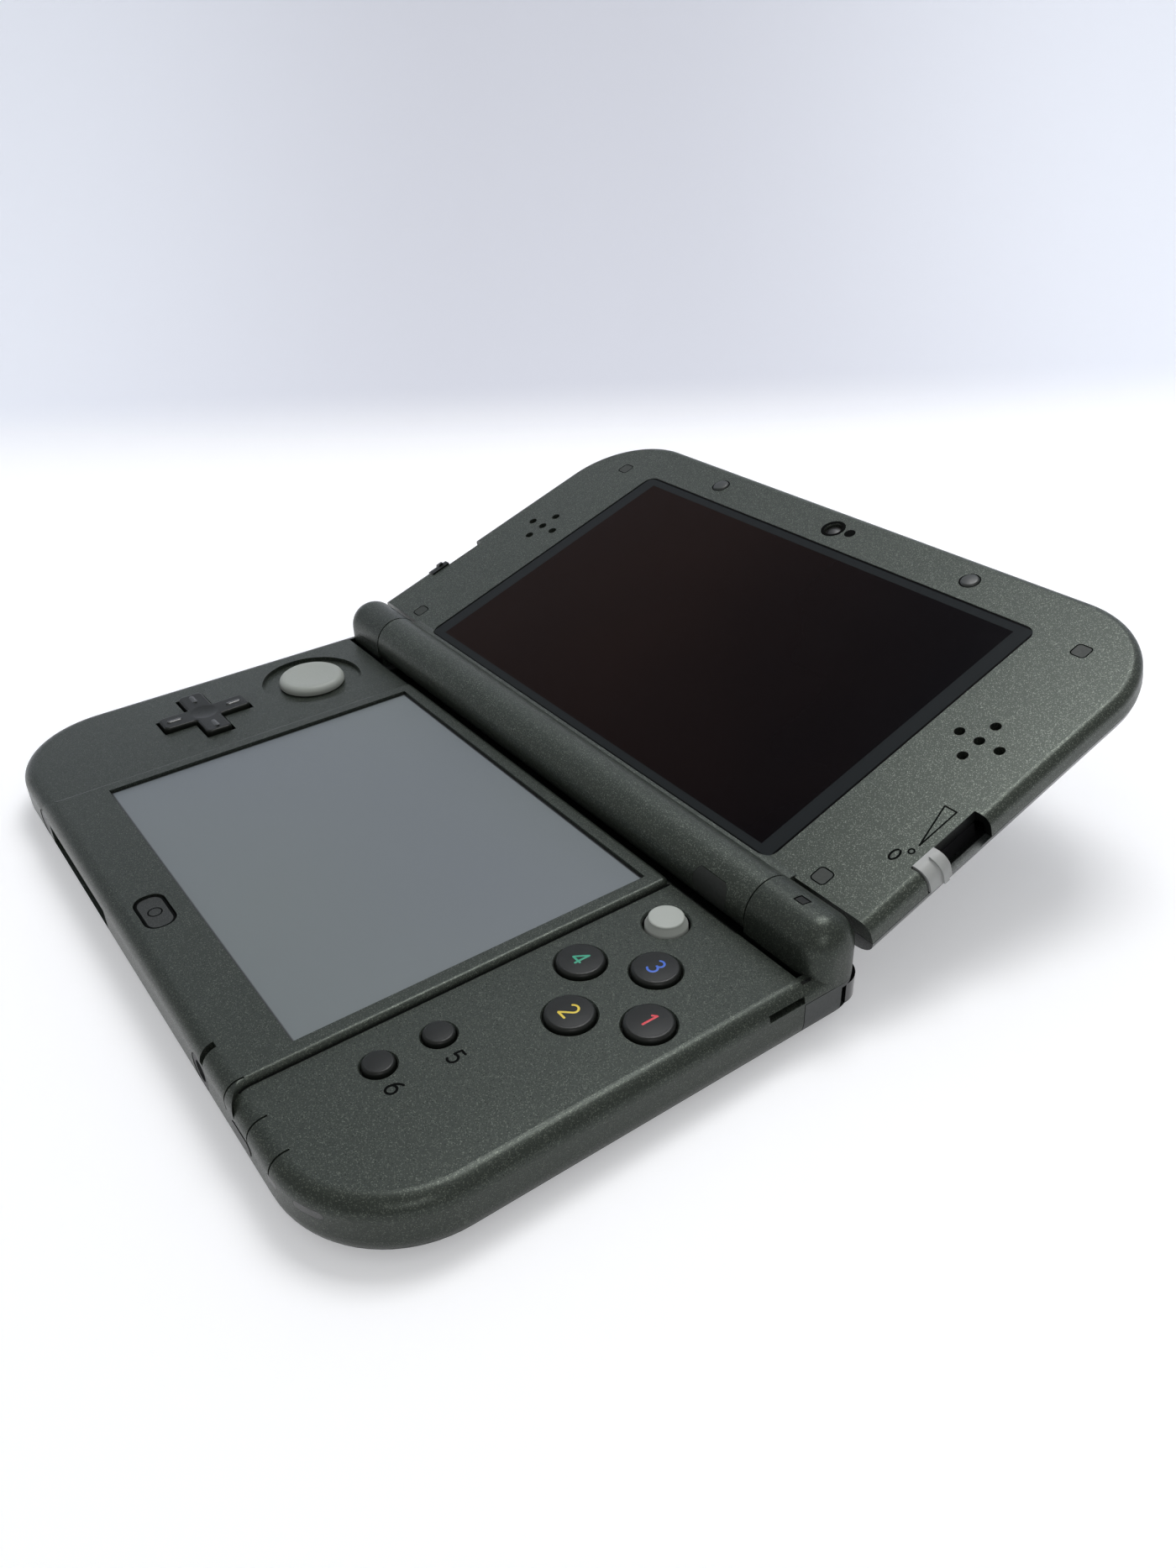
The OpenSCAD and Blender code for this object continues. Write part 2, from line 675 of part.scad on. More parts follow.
module main_board() {
    well = 1.4;
    color([0.05, 0.3, 0.15]) difference() {
        block([-stylus_x + stylus_r + 1.2, front_y + 7, board_z], [half_w - 5, side_seam_y - 0.4, board_top]);
        block([battery_x - battery_w / 2 - well, battery_y - battery_d / 2 - well, 0],
            [battery_x + battery_w / 2 + well, battery_y + battery_d / 2 + well, far]);
        block([-far, -far, 0], [card_x + card_w / 2 + 1.2, front_y + wall + card_d + 1, far]);
        block([jack_x - 4.2, -far, 0], [jack_x + 4.2, front_y + 14.2, far]);
        block([power_x - 5.5, -far, 0], [power_x + 5.5, front_y + 9, far]);
        corner_trim();
        for (s = screw_spots) translate([s[0], s[1], 0]) cylinder(h = far, r = 1.05);
    }
}

// Keeps a board clear of the round front corners.
module corner_trim() {
    difference() {
        band(0, board_top + 1);
        base_form(wall + 0.8);
    }
}

module control_board() {
    color([0.05, 0.3, 0.15]) difference() {
        block([5 - half_w, front_y + 7, board_z], [-stylus_x - stylus_r - 1.2, side_seam_y - 0.4, board_top]);
        corner_trim();
        for (s = screw_spots) translate([s[0], s[1], 0]) cylinder(h = far, r = 1.05);
    }
}

module battery() {
    color([0.15, 0.15, 0.17]) translate([0, 0, battery_low]) linear_extrude(battery_h)
        round_rect(battery_x - battery_w / 2, battery_y - battery_d / 2, battery_x + battery_w / 2,
            battery_y + battery_d / 2, 2);
}

module lower_display() {
    color([0.6, 0.62, 0.65]) block([-touch_w / 2 - 1.3, touch_y - touch_d / 2 - 1.3,
        touch_low - 0.05 - lower_display_t], [touch_w / 2 + 1.3, touch_y + touch_d / 2 + 1.3, touch_low - 0.05]);
}

module touch_panel() {
    color([0.44, 0.46, 0.5]) block([-touch_w / 2 - pane_lap, touch_y - touch_d / 2 - pane_lap, touch_low],
        [touch_w / 2 + pane_lap, touch_y + touch_d / 2 + pane_lap, touch_top]);
}

// Rubber domes under the buttons, standing on the boards.
module button_mats() {
    color([0.5, 0.5, 0.52]) {
        for (p = face_spots) translate([p[0], p[1], board_top + 0.05]) dome(3.2, face_dome_h);
        for (p = small_spots) translate([p[0], p[1], board_top + 0.05]) dome(2.2, face_dome_h);
        translate([0, home_y, board_top + 0.05]) dome(2.2, home_dome_h);
        for (a = [0 : 90 : 270]) translate([-pad_x, pad_y, board_top + 0.05]) rotate([0, 0, a])
            translate([6.6, 0, 0]) dome(1.7, pad_dome_h);
    }
}
face_dome_h = deck_low - stem_gap - flange_t - 0.8 - press_travel - 0.2 - board_top;
home_dome_h = 1.2;
pad_dome_h = pad_disc_z - flange_t - 0.7 - board_top;

// One rubber dome: a low cone with a flat top on a thin round foot.
module dome(r, h) {
    cylinder(h = 0.4, r = r);
    translate([0, 0, 0.4]) cylinder(h = h - 0.4, r1 = r - 0.4, r2 = r - 0.9);
}

// Round button: a cap with a rounded top edge, a flange that keeps it in, and a short stem.
module round_button(p, r, rise, stem) {
    flange_top = deck_low - stem_gap;
    translate([p[0], p[1], 0]) {
        rotate_extrude() edge_profile(r, flange_top - flange_t, deck_z + rise, 0.55, 0);
        translate([0, 0, flange_top - flange_t]) cylinder(h = flange_t, r = r + flange_lap);
        translate([0, 0, flange_top - flange_t - 0.8]) cylinder(h = 0.9, r = stem);
    }
}

module face_button_right() { color([0.1, 0.1, 0.1]) round_button(face_spots[0], face_r, face_rise, 1.4); }
module face_button_front() { color([0.1, 0.1, 0.1]) round_button(face_spots[1], face_r, face_rise, 1.4); }
module face_button_back() { color([0.1, 0.1, 0.1]) round_button(face_spots[2], face_r, face_rise, 1.4); }
module face_button_left() { color([0.1, 0.1, 0.1]) round_button(face_spots[3], face_r, face_rise, 1.4); }
module start_button() { color([0.1, 0.1, 0.1]) round_button(small_spots[0], small_r, small_rise, 1.1); }
module select_button() { color([0.1, 0.1, 0.1]) round_button(small_spots[1], small_r, small_rise, 1.1); }

module home_button() {
    flange_top = frame_z - home_skin - stem_gap;
    stem_low = board_top + 0.05 + home_dome_h + home_travel + 0.2;
    color([0.12, 0.13, 0.13]) translate([0, home_y, 0]) {
        translate([0, 0, flange_top - flange_t]) linear_extrude(frame_z - home_sink - flange_top + flange_t)
            home_outline(0);
        translate([0, 0, flange_top - flange_t]) linear_extrude(flange_t) home_outline(flange_lap);
        translate([0, 0, stem_low]) cylinder(h = flange_top - flange_t - stem_low + 0.1, r = 1.1);
    }
}

module power_button() {
    color([0.1, 0.1, 0.1]) {
        on_front(power_x, port_z, front_y - 0.1, wall + 1) oval(power_w, power_h);
        on_front(power_x, port_z, front_y + wall + stem_gap, flange_t) oval(power_w + 1.4, power_h + 1.4);
    }
}

// Four-way cross with a raised bar on each arm, a hollow middle and a disc that keeps it in.
module direction_pad() {
    color([0.1, 0.1, 0.1]) translate([-pad_x, pad_y, 0]) difference() {
        union() {
            translate([0, 0, pad_disc_z - 0.3]) linear_extrude(deck_z + pad_rise - pad_disc_z + 0.3)
                cross_outline(pad_arm, pad_half);
            translate([0, 0, pad_disc_z - flange_t]) cylinder(h = flange_t, r = 8);
            for (a = [0 : 90 : 270]) rotate([0, 0, a]) translate([6.6, 0, deck_z + pad_rise - 0.1])
                rotate([90, 0, 90]) translate([0, 0, -1.8]) linear_extrude(3.6)
                    intersection() {
                        translate([-1, 0]) square([2, 1]);
                        translate([0, -0.4]) circle(0.75);
                    }
        }
        translate([0, 0, deck_z + pad_rise + 5.2]) sphere(5.6);
        translate([0, 0, pad_disc_z - 1]) cylinder(h = 1.6, r = rocker_r + 0.7);
    }
}

// Ball-topped post that the direction pad rocks on.
module direction_rocker() {
    color([0.3, 0.3, 0.32]) translate([-pad_x, pad_y, 0]) {
        translate([0, 0, board_top + 0.1]) cylinder(h = rocker_z - board_top - 0.1, r = rocker_r);
        translate([0, 0, rocker_z]) sphere(rocker_r);
    }
}

module circle_pad_base() {
    color([0.2, 0.2, 0.22]) translate([-cap_x, cap_y, 0]) difference() {
        translate([0, 0, board_top + 0.05]) cylinder(h = carriage_z - board_top - 0.15, r = cap_r + 1.6);
        translate([0, 0, carriage_z + 0.5]) cube([key_len + 2 * (cap_travel + 0.2), key_w + 2 * key_gap, 3],
            center = true);
    }
}

// Sliding plate between the circle pad and its base: a key below for one way, a slot above for the other.
module circle_pad_carriage() {
    color([0.35, 0.35, 0.37]) translate([-cap_x, cap_y, carriage_z]) {
        difference() {
            cylinder(h = carriage_t, r = cap_r - 0.8);
            cube([key_w + 2 * key_gap, key_len + 2 * (cap_travel + 0.2), 4], center = true);
        }
        translate([-key_len / 2, -key_w / 2, -0.8]) cube([key_len, key_w, 0.9]);
    }
}

module circle_pad() {
    color([0.62, 0.65, 0.63]) translate([-cap_x, cap_y, 0]) {
        difference() {
            rotate_extrude() edge_profile(cap_r, cap_low, deck_z + cap_rise, 1.1, 0.3);
            translate([0, 0, deck_z + cap_rise + 47.7]) sphere(48, $fn = 128);
        }
        translate([0, 0, cap_disc_z]) cylinder(h = cap_low - cap_disc_z + 0.2, r = stem_r);
        translate([0, 0, cap_disc_z]) cylinder(h = 0.8, r = cap_r - 2.3);
        translate([-key_w / 2, -key_len / 2, carriage_z + 0.25])
            cube([key_w, key_len, cap_disc_z - carriage_z]);
    }
}

module nub_base() {
    color([0.2, 0.2, 0.22]) translate([nub_x, nub_y, board_top + 0.05]) difference() {
        cylinder(h = nub_pivot_z - board_top - 0.85, r = 3.4);
        translate([0, 0, 0.4]) cylinder(h = far, r = 1.5);
    }
}

// Thin ring that lets the nub lean.
module nub_flexure() {
    color([0.6, 0.6, 0.62]) translate([nub_x, nub_y, nub_pivot_z - 0.4]) difference() {
        cylinder(h = 0.8, r = 3);
        translate([0, 0, -1]) cylinder(h = far, r = 1.6);
    }
}

module pointing_nub() {
    low = nub_pivot_z + 0.75;
    color([0.66, 0.68, 0.66]) translate([nub_x, nub_y, 0]) {
        translate([0, 0, deck_z]) cylinder(h = nub_rise - 0.4, r1 = nub_r, r2 = nub_top_r + 0.12);
        translate([0, 0, deck_z + nub_rise - 0.4]) cylinder(h = 0.4, r1 = nub_top_r + 0.12, r2 = nub_top_r - 0.25);
        translate([0, 0, low]) cylinder(h = deck_z - low, r = nub_r);
        translate([0, 0, nub_pivot_z - 0.35]) cylinder(h = low - nub_pivot_z + 0.45, r = 1.2);
    }
}

module headphone_jack() {
    color([0.08, 0.08, 0.09]) difference() {
        union() {
            block([jack_x - 3.5, front_y + wall + 0.1, plate_top + 0.1],
                [jack_x + 3.5, front_y + 13.5, touch_low - 0.1 - lower_display_t]);
            translate([jack_x, front_y + wall + 0.2, port_z]) rotate([90, 0, 0])
                cylinder(h = wall + 0.1, r = jack_r + 1.2);
        }
        translate([jack_x, front_y + 12, port_z]) rotate([90, 0, 0]) cylinder(h = far, r = jack_r);
    }
}

module charge_port() {
    color([0.1, 0.1, 0.1]) difference() {
        block([17.2, back_y - 9.5, plate_top + 0.05], [26.8, back_y - wall - 0.1, trough_z - trough_t - 0.1]);
        on_front(22, plate_top + 1.4, back_y - 8, far) oval(8, 1.9);
    }
}

module infrared_window() {
    color([0.05, 0.03, 0.05]) on_front(-6, plate_top + 1.4, back_y - wall - 0.4, wall + 0.3) oval(14, 2.2);
}

// Thin metal cage that the game card slides into.
module card_reader() {
    color([0.6, 0.6, 0.62]) difference() {
        block([card_x - card_w / 2 - 0.3, front_y + wall + pocket_gap, plate_top + 0.1],
            [card_x + card_w / 2 + 0.3, front_y + wall + card_d, card_z + card_h + 0.2]);
        block([card_x - card_w / 2, -far, card_z],
            [card_x + card_w / 2, front_y + wall + card_d - 1.5, card_z + card_h]);
    }
}

module hinge_light() {
    color([0.35, 0.33, 0.35]) intersection() {
        hinge_light_cut(0);
        translate([half_w / 2, hinge_y, hinge_z]) rotate([0, 90, 0]) cylinder(h = half_w, r = hinge_r, center = true);
    }
}

module status_lights() {
    color([0.5, 0.5, 0.48]) difference() {
        intersection() {
            status_light_cuts(0);
            base_form(0);
        }
        base_form(wall);
    }
}

module microphone() {
    color([0.15, 0.15, 0.15]) translate([jack_x + 5.2, front_y + 4.4, plate_top + 0.05])
        cylinder(h = 1, r = 1.2);
}

module cover_screws() {
    color([0.6, 0.6, 0.62]) for (s = cover_screw_spots) translate([s[0], s[1], 0.05]) difference() {
        union() {
            cylinder(h = 0.8, r = 2.3);
            cylinder(h = board_z - 0.3, r = 1);
        }
        cross_slot(1.5, 0.45);
    }
}

// Cross recess of a screw's head, cut upwards from z = 0.
module cross_slot(l, depth) {
    for (a = [0, 90]) rotate([0, 0, a]) cube([2 * l, 0.5, 2 * depth], center = true);
}

module housing_screws() {
    color([0.6, 0.6, 0.62]) for (s = screw_spots) translate([s[0], s[1], cover_z + 0.05]) difference() {
        union() {
            cylinder(h = 0.8, r = 1.6);
            cylinder(h = deck_low - cover_z - 1.2, r = 0.8);
        }
        cross_slot(1, 0.35);
    }
}

module trigger_switches() {
    color([0.3, 0.3, 0.3]) both_sides() {
        block([shoulder_x1 - 8, back_y - 8.3, plate_top + 0.05], [shoulder_x1 - 3, back_y - 5.1, shoulder_z + 3.4]);
        block([trigger_x1 - 4.4, back_y - 7.2, plate_top + 0.05], [trigger_x1 - 0.6, back_y - 4.2, shoulder_z + 3.2]);
    }
}

// Right shoulder button: a bar along the back wall with a rounded outer corner and a hub for its pin.
module right_shoulder() {
    color([0.05, 0.05, 0.05]) lever(shoulder_x0, shoulder_x1, shoulder_y0, shoulder_pin, back_r - 0.2);
}

module left_shoulder() { mirror([1, 0, 0]) right_shoulder(); }

module right_trigger() {
    color([0.05, 0.05, 0.05]) lever(trigger_x0, trigger_x1, trigger_y0, trigger_pin, 0.8);
}

module left_trigger() { mirror([1, 0, 0]) right_trigger(); }

// Pivoted bar from x0 to x1 that turns on a pin near its inner end.
module lever(x0, x1, y0, pin, r) {
    translate([0, 0, shoulder_z]) linear_extrude(shoulder_h) difference() {
        union() {
            translate([x0 + 0.8, y0]) square([x1 - x0 - 0.8 - r, shoulder_y1 - y0]);
            translate([x0, y0]) square([x1 - x0, shoulder_y1 - y0 - r]);
            translate([x0 + 0.8, shoulder_y1 - 0.8]) circle(0.8);
            translate([x0, shoulder_y1 - r - skin_cut]) square([2, r - 0.8 + skin_cut]);
            translate([x1 - r, shoulder_y1 - r]) quarter_disc(r);
            translate(pin) circle(lever_hub_r);
        }
        translate(pin) circle(lever_pin_r + pin_fit);
    }
}

// Outer form of the lid in its own axes, drawn in by d, cut straight beside the hinge.
module lid_form(d) {
    difference() {
        soft_slab(body_w - 2 * d, -corner_r, lid_len - d, lid_out + d, lid_in - d, corner_r - d, corner_r - d,
            max(0.2, lid_in_fillet - d), lid_out_fillet - d);
        block([-far, -far, -far], [far, wing_u, far]);
    }
}

// Neck between the hinge barrel and the lid, seen from its end.
module neck_outline() {
    c = [neck_u, lid_out + neck_u];
    gap = norm(c);
    a = atan2(c[1], c[0]) - acos((hinge_r - neck_u) / gap);
    d = [cos(a), sin(a)];
    polygon([[0, 0], hinge_r * d, c + neck_u * d, c]);
    translate([0, c[1]]) square([wing_u + 0.5, lid_in - c[1]]);
    translate([neck_u, lid_out]) square([wing_u + 0.5 - neck_u, lid_t]);
    translate(c) circle(neck_u);
}

// Extrudes an outline of the lid's section along the hinge, across the barrel's length.
module along_barrel() {
    translate([-barrel_x, 0, 0]) rotate([90, 0, 90]) linear_extrude(barrel_len) children();
}

module barrel() {
    translate([-barrel_x, 0, 0]) rotate([0, 90, 0]) cylinder(h = barrel_len, r = hinge_r);
}

// Hollow inside the lid's shells.
module lid_hollow() {
    soft_slab(body_w - 2 * wall, cavity_u, lid_len - wall, lid_floor, lid_under, 3, corner_r - wall, 0.2,
        lid_out_fillet - wall - 1.2);
}

// Slot of a slider in the lid's right edge, grown by d.
module slider_slot_form(d) {
    block([half_w - slider_w, slider_u - d, lid_seam], [far, slider_u + slider_slot + d, far]);
}

module lid_bezel() {
    color([0.3, 0.33, 0.32]) in_lid() difference() {
        union() {
            difference() {
                union() {
                    lid_form(0);
                    along_barrel() neck_outline();
                }
                block([-far, -far, -far], [far, far, lid_seam]);
            }
            barrel();
        }
        lid_hollow();
        // Pane recess and the room of the display behind it
        translate([0, 0, glass_low]) linear_extrude(far)
            round_rect(-glass_w / 2 - 0.08, glass_u - 0.08, glass_w / 2 + 0.08, glass_u + glass_h + 0.08, 2.6);
        block([-display_w / 2 - 0.6, display_u - 0.6, lid_seam - 1],
            [display_w / 2 + 0.6, display_u + display_h + 0.6, far]);
        both_sides() {
            for (p = [[0, 0], [1, 0], [-1, 0], [0, 1], [0, -1]])
                translate([speaker_x + p[0] * speaker_pitch, speaker_u + p[1] * speaker_pitch, lid_under - 1])
                    cylinder(h = far, r = speaker_hole_r);
            for (u = screw_u) translate([lid_screw_x, u, lid_in - 0.65]) screw_cover_form(0.06);
            for (u = screw_u) translate([lid_screw_x, u, lid_under - 1]) {
                cylinder(h = far, r = 0.95);
                translate([0, 0, 1.8]) cylinder(h = 1, r = 1.5);
            }
            translate([bumper_x, camera_u, lid_in - 0.7]) cylinder(h = far, r = 2.06);
            slider_slot_form(0);
            // Bores of the barrel for the hinge cartridge and the bush
            translate([barrel_x - 15, 0, 0]) rotate([0, 90, 0]) cylinder(h = far, r = 3.3);
        }
        translate([0, camera_u, lid_under - 1]) cylinder(h = far, r = 2);
        translate([0, camera_u, lid_in - 0.5]) cylinder(h = far, r1 = 2.2, r2 = 2.2 + far);
        translate([4.4, camera_u + 0.5, lid_under - 1]) cylinder(h = far, r = 0.55);
        barrel_plug_form(0.06);
    }
}

// Disc let into the front of the barrel, as seen with the lid open, grown by d.
module barrel_plug_form(d) {
    translate([barrel_x - 8.6, 0, 0]) rotate([176 - lid_tilt, 0, 0]) rotate([-90, 0, 0])
        translate([0, 0, hinge_r - 0.8 - d]) cylinder(h = 2, r = 4.2 + d);
}

// Rounded square cap over a lid screw, grown by d.
module screw_cover_form(d) {
    linear_extrude(0.6 + 4 * d) round_rect(-1.5 - d, -1.5 - d, 1.5 + d, 1.5 + d, 0.8);
}

module lid_cover() {
    color([0.24, 0.26, 0.26]) in_lid() {
        difference() {
            union() {
                lid_form(0);
                along_barrel() neck_outline();
            }
            block([-far, -far, lid_seam - seam_gap], [far, far, far]);
            translate([-far / 2, 0, 0]) rotate([0, 90, 0]) cylinder(h = far, r = hinge_r + seam_gap);
            block([-far, -far, -far], [far, neck_u - 1, far]);
            lid_hollow();
            for (s = [-1, 1]) translate([s * camera_pitch / 2, camera_u - 1, lid_out - 1])
                cylinder(h = far, r = camera_r + 0.06);
        }
        // Posts for the lid's screws
        both_sides() for (u = screw_u) translate([lid_screw_x, u, lid_floor - 0.2]) difference() {
            cylinder(h = lid_under - lid_floor, r = 2.2);
            translate([0, 0, 0.6]) cylinder(h = far, r = 0.85);
            block([-far, -far, lid_seam - seam_gap - lid_floor], [far, cavity_u + 0.1 - u, far]);
        }
    }
}

module upper_glass() {
    color([0.03, 0.025, 0.03]) in_lid() translate([0, 0, glass_low]) linear_extrude(glass_t)
        round_rect(-glass_w / 2, glass_u, glass_w / 2, glass_u + glass_h, 2.5);
}

module upper_display() {
    color([0.2, 0.2, 0.22]) in_lid() block([-display_w / 2 - 0.3, display_u - 0.3, glass_low - 2.9],
        [display_w / 2 + 0.3, display_u + display_h + 0.3, glass_low - 0.05]);
}

module right_speaker() {
    color([0.1, 0.1, 0.1]) in_lid() translate([speaker_x, speaker_u, lid_under - 3.4]) difference() {
        cylinder(h = 3.3, r = 7);
        translate([0, 0, 2.9]) cylinder(h = 1, r = 6.2);
    }
}

module left_speaker() { mirror([1, 0, 0]) right_speaker(); }

module inner_camera() {
    color([0.05, 0.05, 0.07]) in_lid() translate([0, camera_u, 0]) {
        translate([0, 0, lid_floor + 1]) cylinder(h = lid_in - 0.9 - lid_floor - 1, r = 1.9);
        intersection() {
            translate([0, 0, lid_in - 0.9]) cylinder(h = 2, r = 1.9);
            translate([0, 0, lid_in - 3.8]) sphere(3.4);
        }
    }
}

module outer_cameras() {
    color([0.05, 0.05, 0.07]) in_lid() for (s = [-1, 1])
        translate([s * camera_pitch / 2, camera_u - 1, lid_out + 0.15]) cylinder(h = wall - 0.1, r = camera_r);
}

module lid_board() {
    color([0.05, 0.3, 0.15]) in_lid() block([-29, lid_len - 12.6, lid_floor + 0.1],
        [29, lid_len - 4.2, lid_floor + 0.9]);
}

module slider_switches() {
    color([0.3, 0.3, 0.3]) in_lid() both_sides() block([half_w - 9, slider_u - 0.5, lid_floor + 0.1],
        [half_w - slider_w - 1, slider_u + slider_slot + 0.5, lid_under - 2]);
}

module lid_bumpers() {
    color([0.12, 0.12, 0.12]) in_lid() both_sides() translate([bumper_x, camera_u, lid_in - 0.65])
        rotate_extrude() edge_profile(2, 0, 1.1, 0.44, 0);
}

module screw_covers() {
    color([0.2, 0.22, 0.22]) in_lid() both_sides() for (u = screw_u)
        translate([lid_screw_x, u, lid_in - 0.62]) screw_cover_form(0);
}

module lid_screws() {
    color([0.6, 0.6, 0.62]) in_lid() both_sides() for (u = screw_u) translate([lid_screw_x, u, 0]) {
        translate([0, 0, lid_in - 1.15]) cylinder(h = 0.45, r = 1.4);
        translate([0, 0, lid_floor + 1]) cylinder(h = lid_in - 1.1 - lid_floor - 1, r = 0.8);
    }
}

// Steel friction unit in the right end of the barrel, with the pin that turns in the knuckle.
module hinge_cartridge() {
    color([0.65, 0.66, 0.68]) in_lid() rotate([0, 90, 0]) {
        translate([0, 0, barrel_x - 14.9]) cylinder(h = 14.8, r = 3.25);
        translate([0, 0, barrel_x - 1]) cylinder(h = pin_reach + 1, r = pin_r);
    }
}

// Hollow bush in the left end of the barrel; the lid's cable passes through it.
module hinge_bush() {
    color([0.65, 0.66, 0.68]) in_lid() rotate([0, -90, 0]) difference() {
        union() {
            translate([0, 0, barrel_x - 14.9]) cylinder(h = 14.8, r = 3.25);
            translate([0, 0, barrel_x - 1]) cylinder(h = pin_reach + 1, r = pin_r);
        }
        translate([0, 0, barrel_x - 16]) cylinder(h = far, r = pin_r - 0.8);
    }
}

module barrel_plug() {
    color([0.16, 0.17, 0.17]) in_lid() intersection() {
        barrel_plug_form(0);
        barrel();
    }
}

// Knob of a slider: it follows the lid's rounded edge, with a rib across and a tongue under the plate.
module slider_form(rib) {
    inner = half_w - slider_w + 0.15;
    slider_shell(inner, slider_u + 0.3, slider_knob, 0.35);
    if (rib) slider_shell(inner + 1, slider_u + 0.3 + slider_knob * 0.55, 1.1, 0.8);
    block([inner - 4.2, slider_u + 0.8, lid_under - 1.5], [inner + 1, slider_u + slider_knob - 0.4, lid_under - 0.2]);
}

// Slice of the lid's edge, grown by d, l long from u.
module slider_shell(inner, u, l, d) {
    translate([0, u + l, 0]) rotate([90, 0, 0]) linear_extrude(l) intersection() {
        edge_profile(half_w + d, lid_out, lid_in + d, lid_in_fillet + d, 0);
        translate([inner, lid_seam + 0.15]) square([far, far]);
    }
}

module depth_slider() { color([0.74, 0.75, 0.74]) in_lid() slider_form(true); }

module volume_slider() { color([0.12, 0.13, 0.13]) in_lid() mirror([1, 0, 0]) slider_form(true); }

module stylus() {
    color([0.1, 0.1, 0.1]) translate([-stylus_x, front_y, port_z]) rotate([-90, 0, 0]) {
        translate([0, 0, 0.1]) cylinder(h = 3.9, r = stylus_r + 0.15);
        translate([0, 0, 4]) cylinder(h = stylus_len - 10, r = stylus_r);
        translate([0, 0, stylus_len - 6]) cylinder(h = 6, r1 = stylus_r, r2 = 0.7);
    }
}

back_cover();
lower_housing();
top_housing();
main_board();
control_board();
battery();
lower_display();
touch_panel();
button_mats();
circle_pad_base();
nub_base();
headphone_jack();
charge_port();
card_reader();
infrared_window();
hinge_light();
status_lights();
microphone();
cover_screws();
housing_screws();
trigger_switches();
lid_bezel();
lid_cover();
upper_glass();
upper_display();
left_speaker();
right_speaker();
inner_camera();
outer_cameras();
lid_board();
slider_switches();
lid_bumpers();
screw_covers();
lid_screws();
hinge_cartridge();
hinge_bush();
barrel_plug();
face_button_right();
face_button_front();
face_button_back();
face_button_left();
start_button();
select_button();
home_button();
power_button();
direction_rocker();
direction_pad();
circle_pad_carriage();
circle_pad();
nub_flexure();
pointing_nub();
left_shoulder();
right_shoulder();
left_trigger();
right_trigger();
depth_slider();
volume_slider();
stylus();
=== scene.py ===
from math import radians

import bpy
import numpy as np
from mathutils import Matrix, Vector


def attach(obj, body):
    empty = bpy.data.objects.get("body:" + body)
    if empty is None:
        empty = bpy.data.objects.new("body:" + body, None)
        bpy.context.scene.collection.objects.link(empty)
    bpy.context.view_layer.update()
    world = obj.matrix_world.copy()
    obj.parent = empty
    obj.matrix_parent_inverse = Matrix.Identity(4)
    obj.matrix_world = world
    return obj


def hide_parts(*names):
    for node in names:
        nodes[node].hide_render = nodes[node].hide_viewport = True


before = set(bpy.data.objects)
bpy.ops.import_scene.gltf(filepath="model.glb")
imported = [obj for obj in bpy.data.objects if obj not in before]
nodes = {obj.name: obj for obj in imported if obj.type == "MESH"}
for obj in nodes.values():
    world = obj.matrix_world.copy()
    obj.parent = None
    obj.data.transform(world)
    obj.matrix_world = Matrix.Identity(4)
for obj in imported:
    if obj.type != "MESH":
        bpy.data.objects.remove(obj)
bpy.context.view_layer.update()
scene = bpy.context.scene
# Points of the pieces are written in millimetres. What goes straight into the scene is in metres.
MM = 0.001
# The lid turns about a line along x through this place, and at rest it rises from there by the tilt.
hinge_y, hinge_z = 40.1, 14.0
lid_tilt = radians(19)


# ---------------------------------------------------------------- Camera
# A telephone held above the front right corner, looking down over both halves with a slight lean to the left.
# Its three axes are written out, because the lean comes from them.
camera = bpy.data.objects.new("camera", bpy.data.cameras.new("camera"))
camera.data.lens = 28.103
camera.data.sensor_width = 36.0
camera.data.clip_start = 0.005
image_right = Vector((0.58240729, 0.81228869, -0.0314457))
image_down = Vector((0.42100782, -0.33450019, -0.84312635))
ahead = Vector((-0.69538058, 0.47780405, -0.53679524))
lens_place = (0.1768477, -0.0726262, 0.1386767)
camera.matrix_world = (
    Matrix.Translation(lens_place) @ Matrix((image_right, -image_down, -ahead)).transposed().to_4x4()
)
scene.collection.objects.link(camera)
scene.camera = camera


# ---------------------------------------------------------------- Table, backdrop and lamps
# One sheet of pale paper lies under the console and curves up behind it. Three broad soft lamps stand above it, and
# the room adds an even light that is strongest from overhead.
def start_finish(name, **values):
    """Starts a material. Its shader takes the constant values given, each by its socket's name."""
    finish = bpy.data.materials.new(name)
    finish.use_nodes = True
    shader = finish.node_tree.nodes["Principled BSDF"]
    for socket, value in values.items():
        shader.inputs[socket.replace("_", " ")].default_value = value
    return finish, shader


def add_node(finish, kind, inputs=(), **settings):
    """Adds a node of one kind with its settings. An input is a plain value, or an output to link from."""
    node = finish.node_tree.nodes.new("ShaderNode" + kind)
    for setting, value in settings.items():
        setattr(node, setting, value)
    for socket, value in dict(inputs).items():
        if isinstance(value, bpy.types.NodeSocket):
            finish.node_tree.links.new(value, node.inputs[socket])
        else:
            node.inputs[socket].default_value = value
    return node


def add_mix(finish, share, first, second):
    """Adds a blend of two colours: all of the first where the share is 0, all of the second where it is 1."""
    mix = add_node(finish, "Mix", data_type="RGBA")
    for socket, value in ((mix.inputs[0], share), (mix.inputs[6], first), (mix.inputs[7], second)):
        if isinstance(value, bpy.types.NodeSocket):
            finish.node_tree.links.new(value, socket)
        else:
            socket.default_value = value
    return mix.outputs[2]


def join(finish, output, shader, socket):
    """Links an output to one of the shader's sockets."""
    finish.node_tree.links.new(output, shader.inputs[socket])


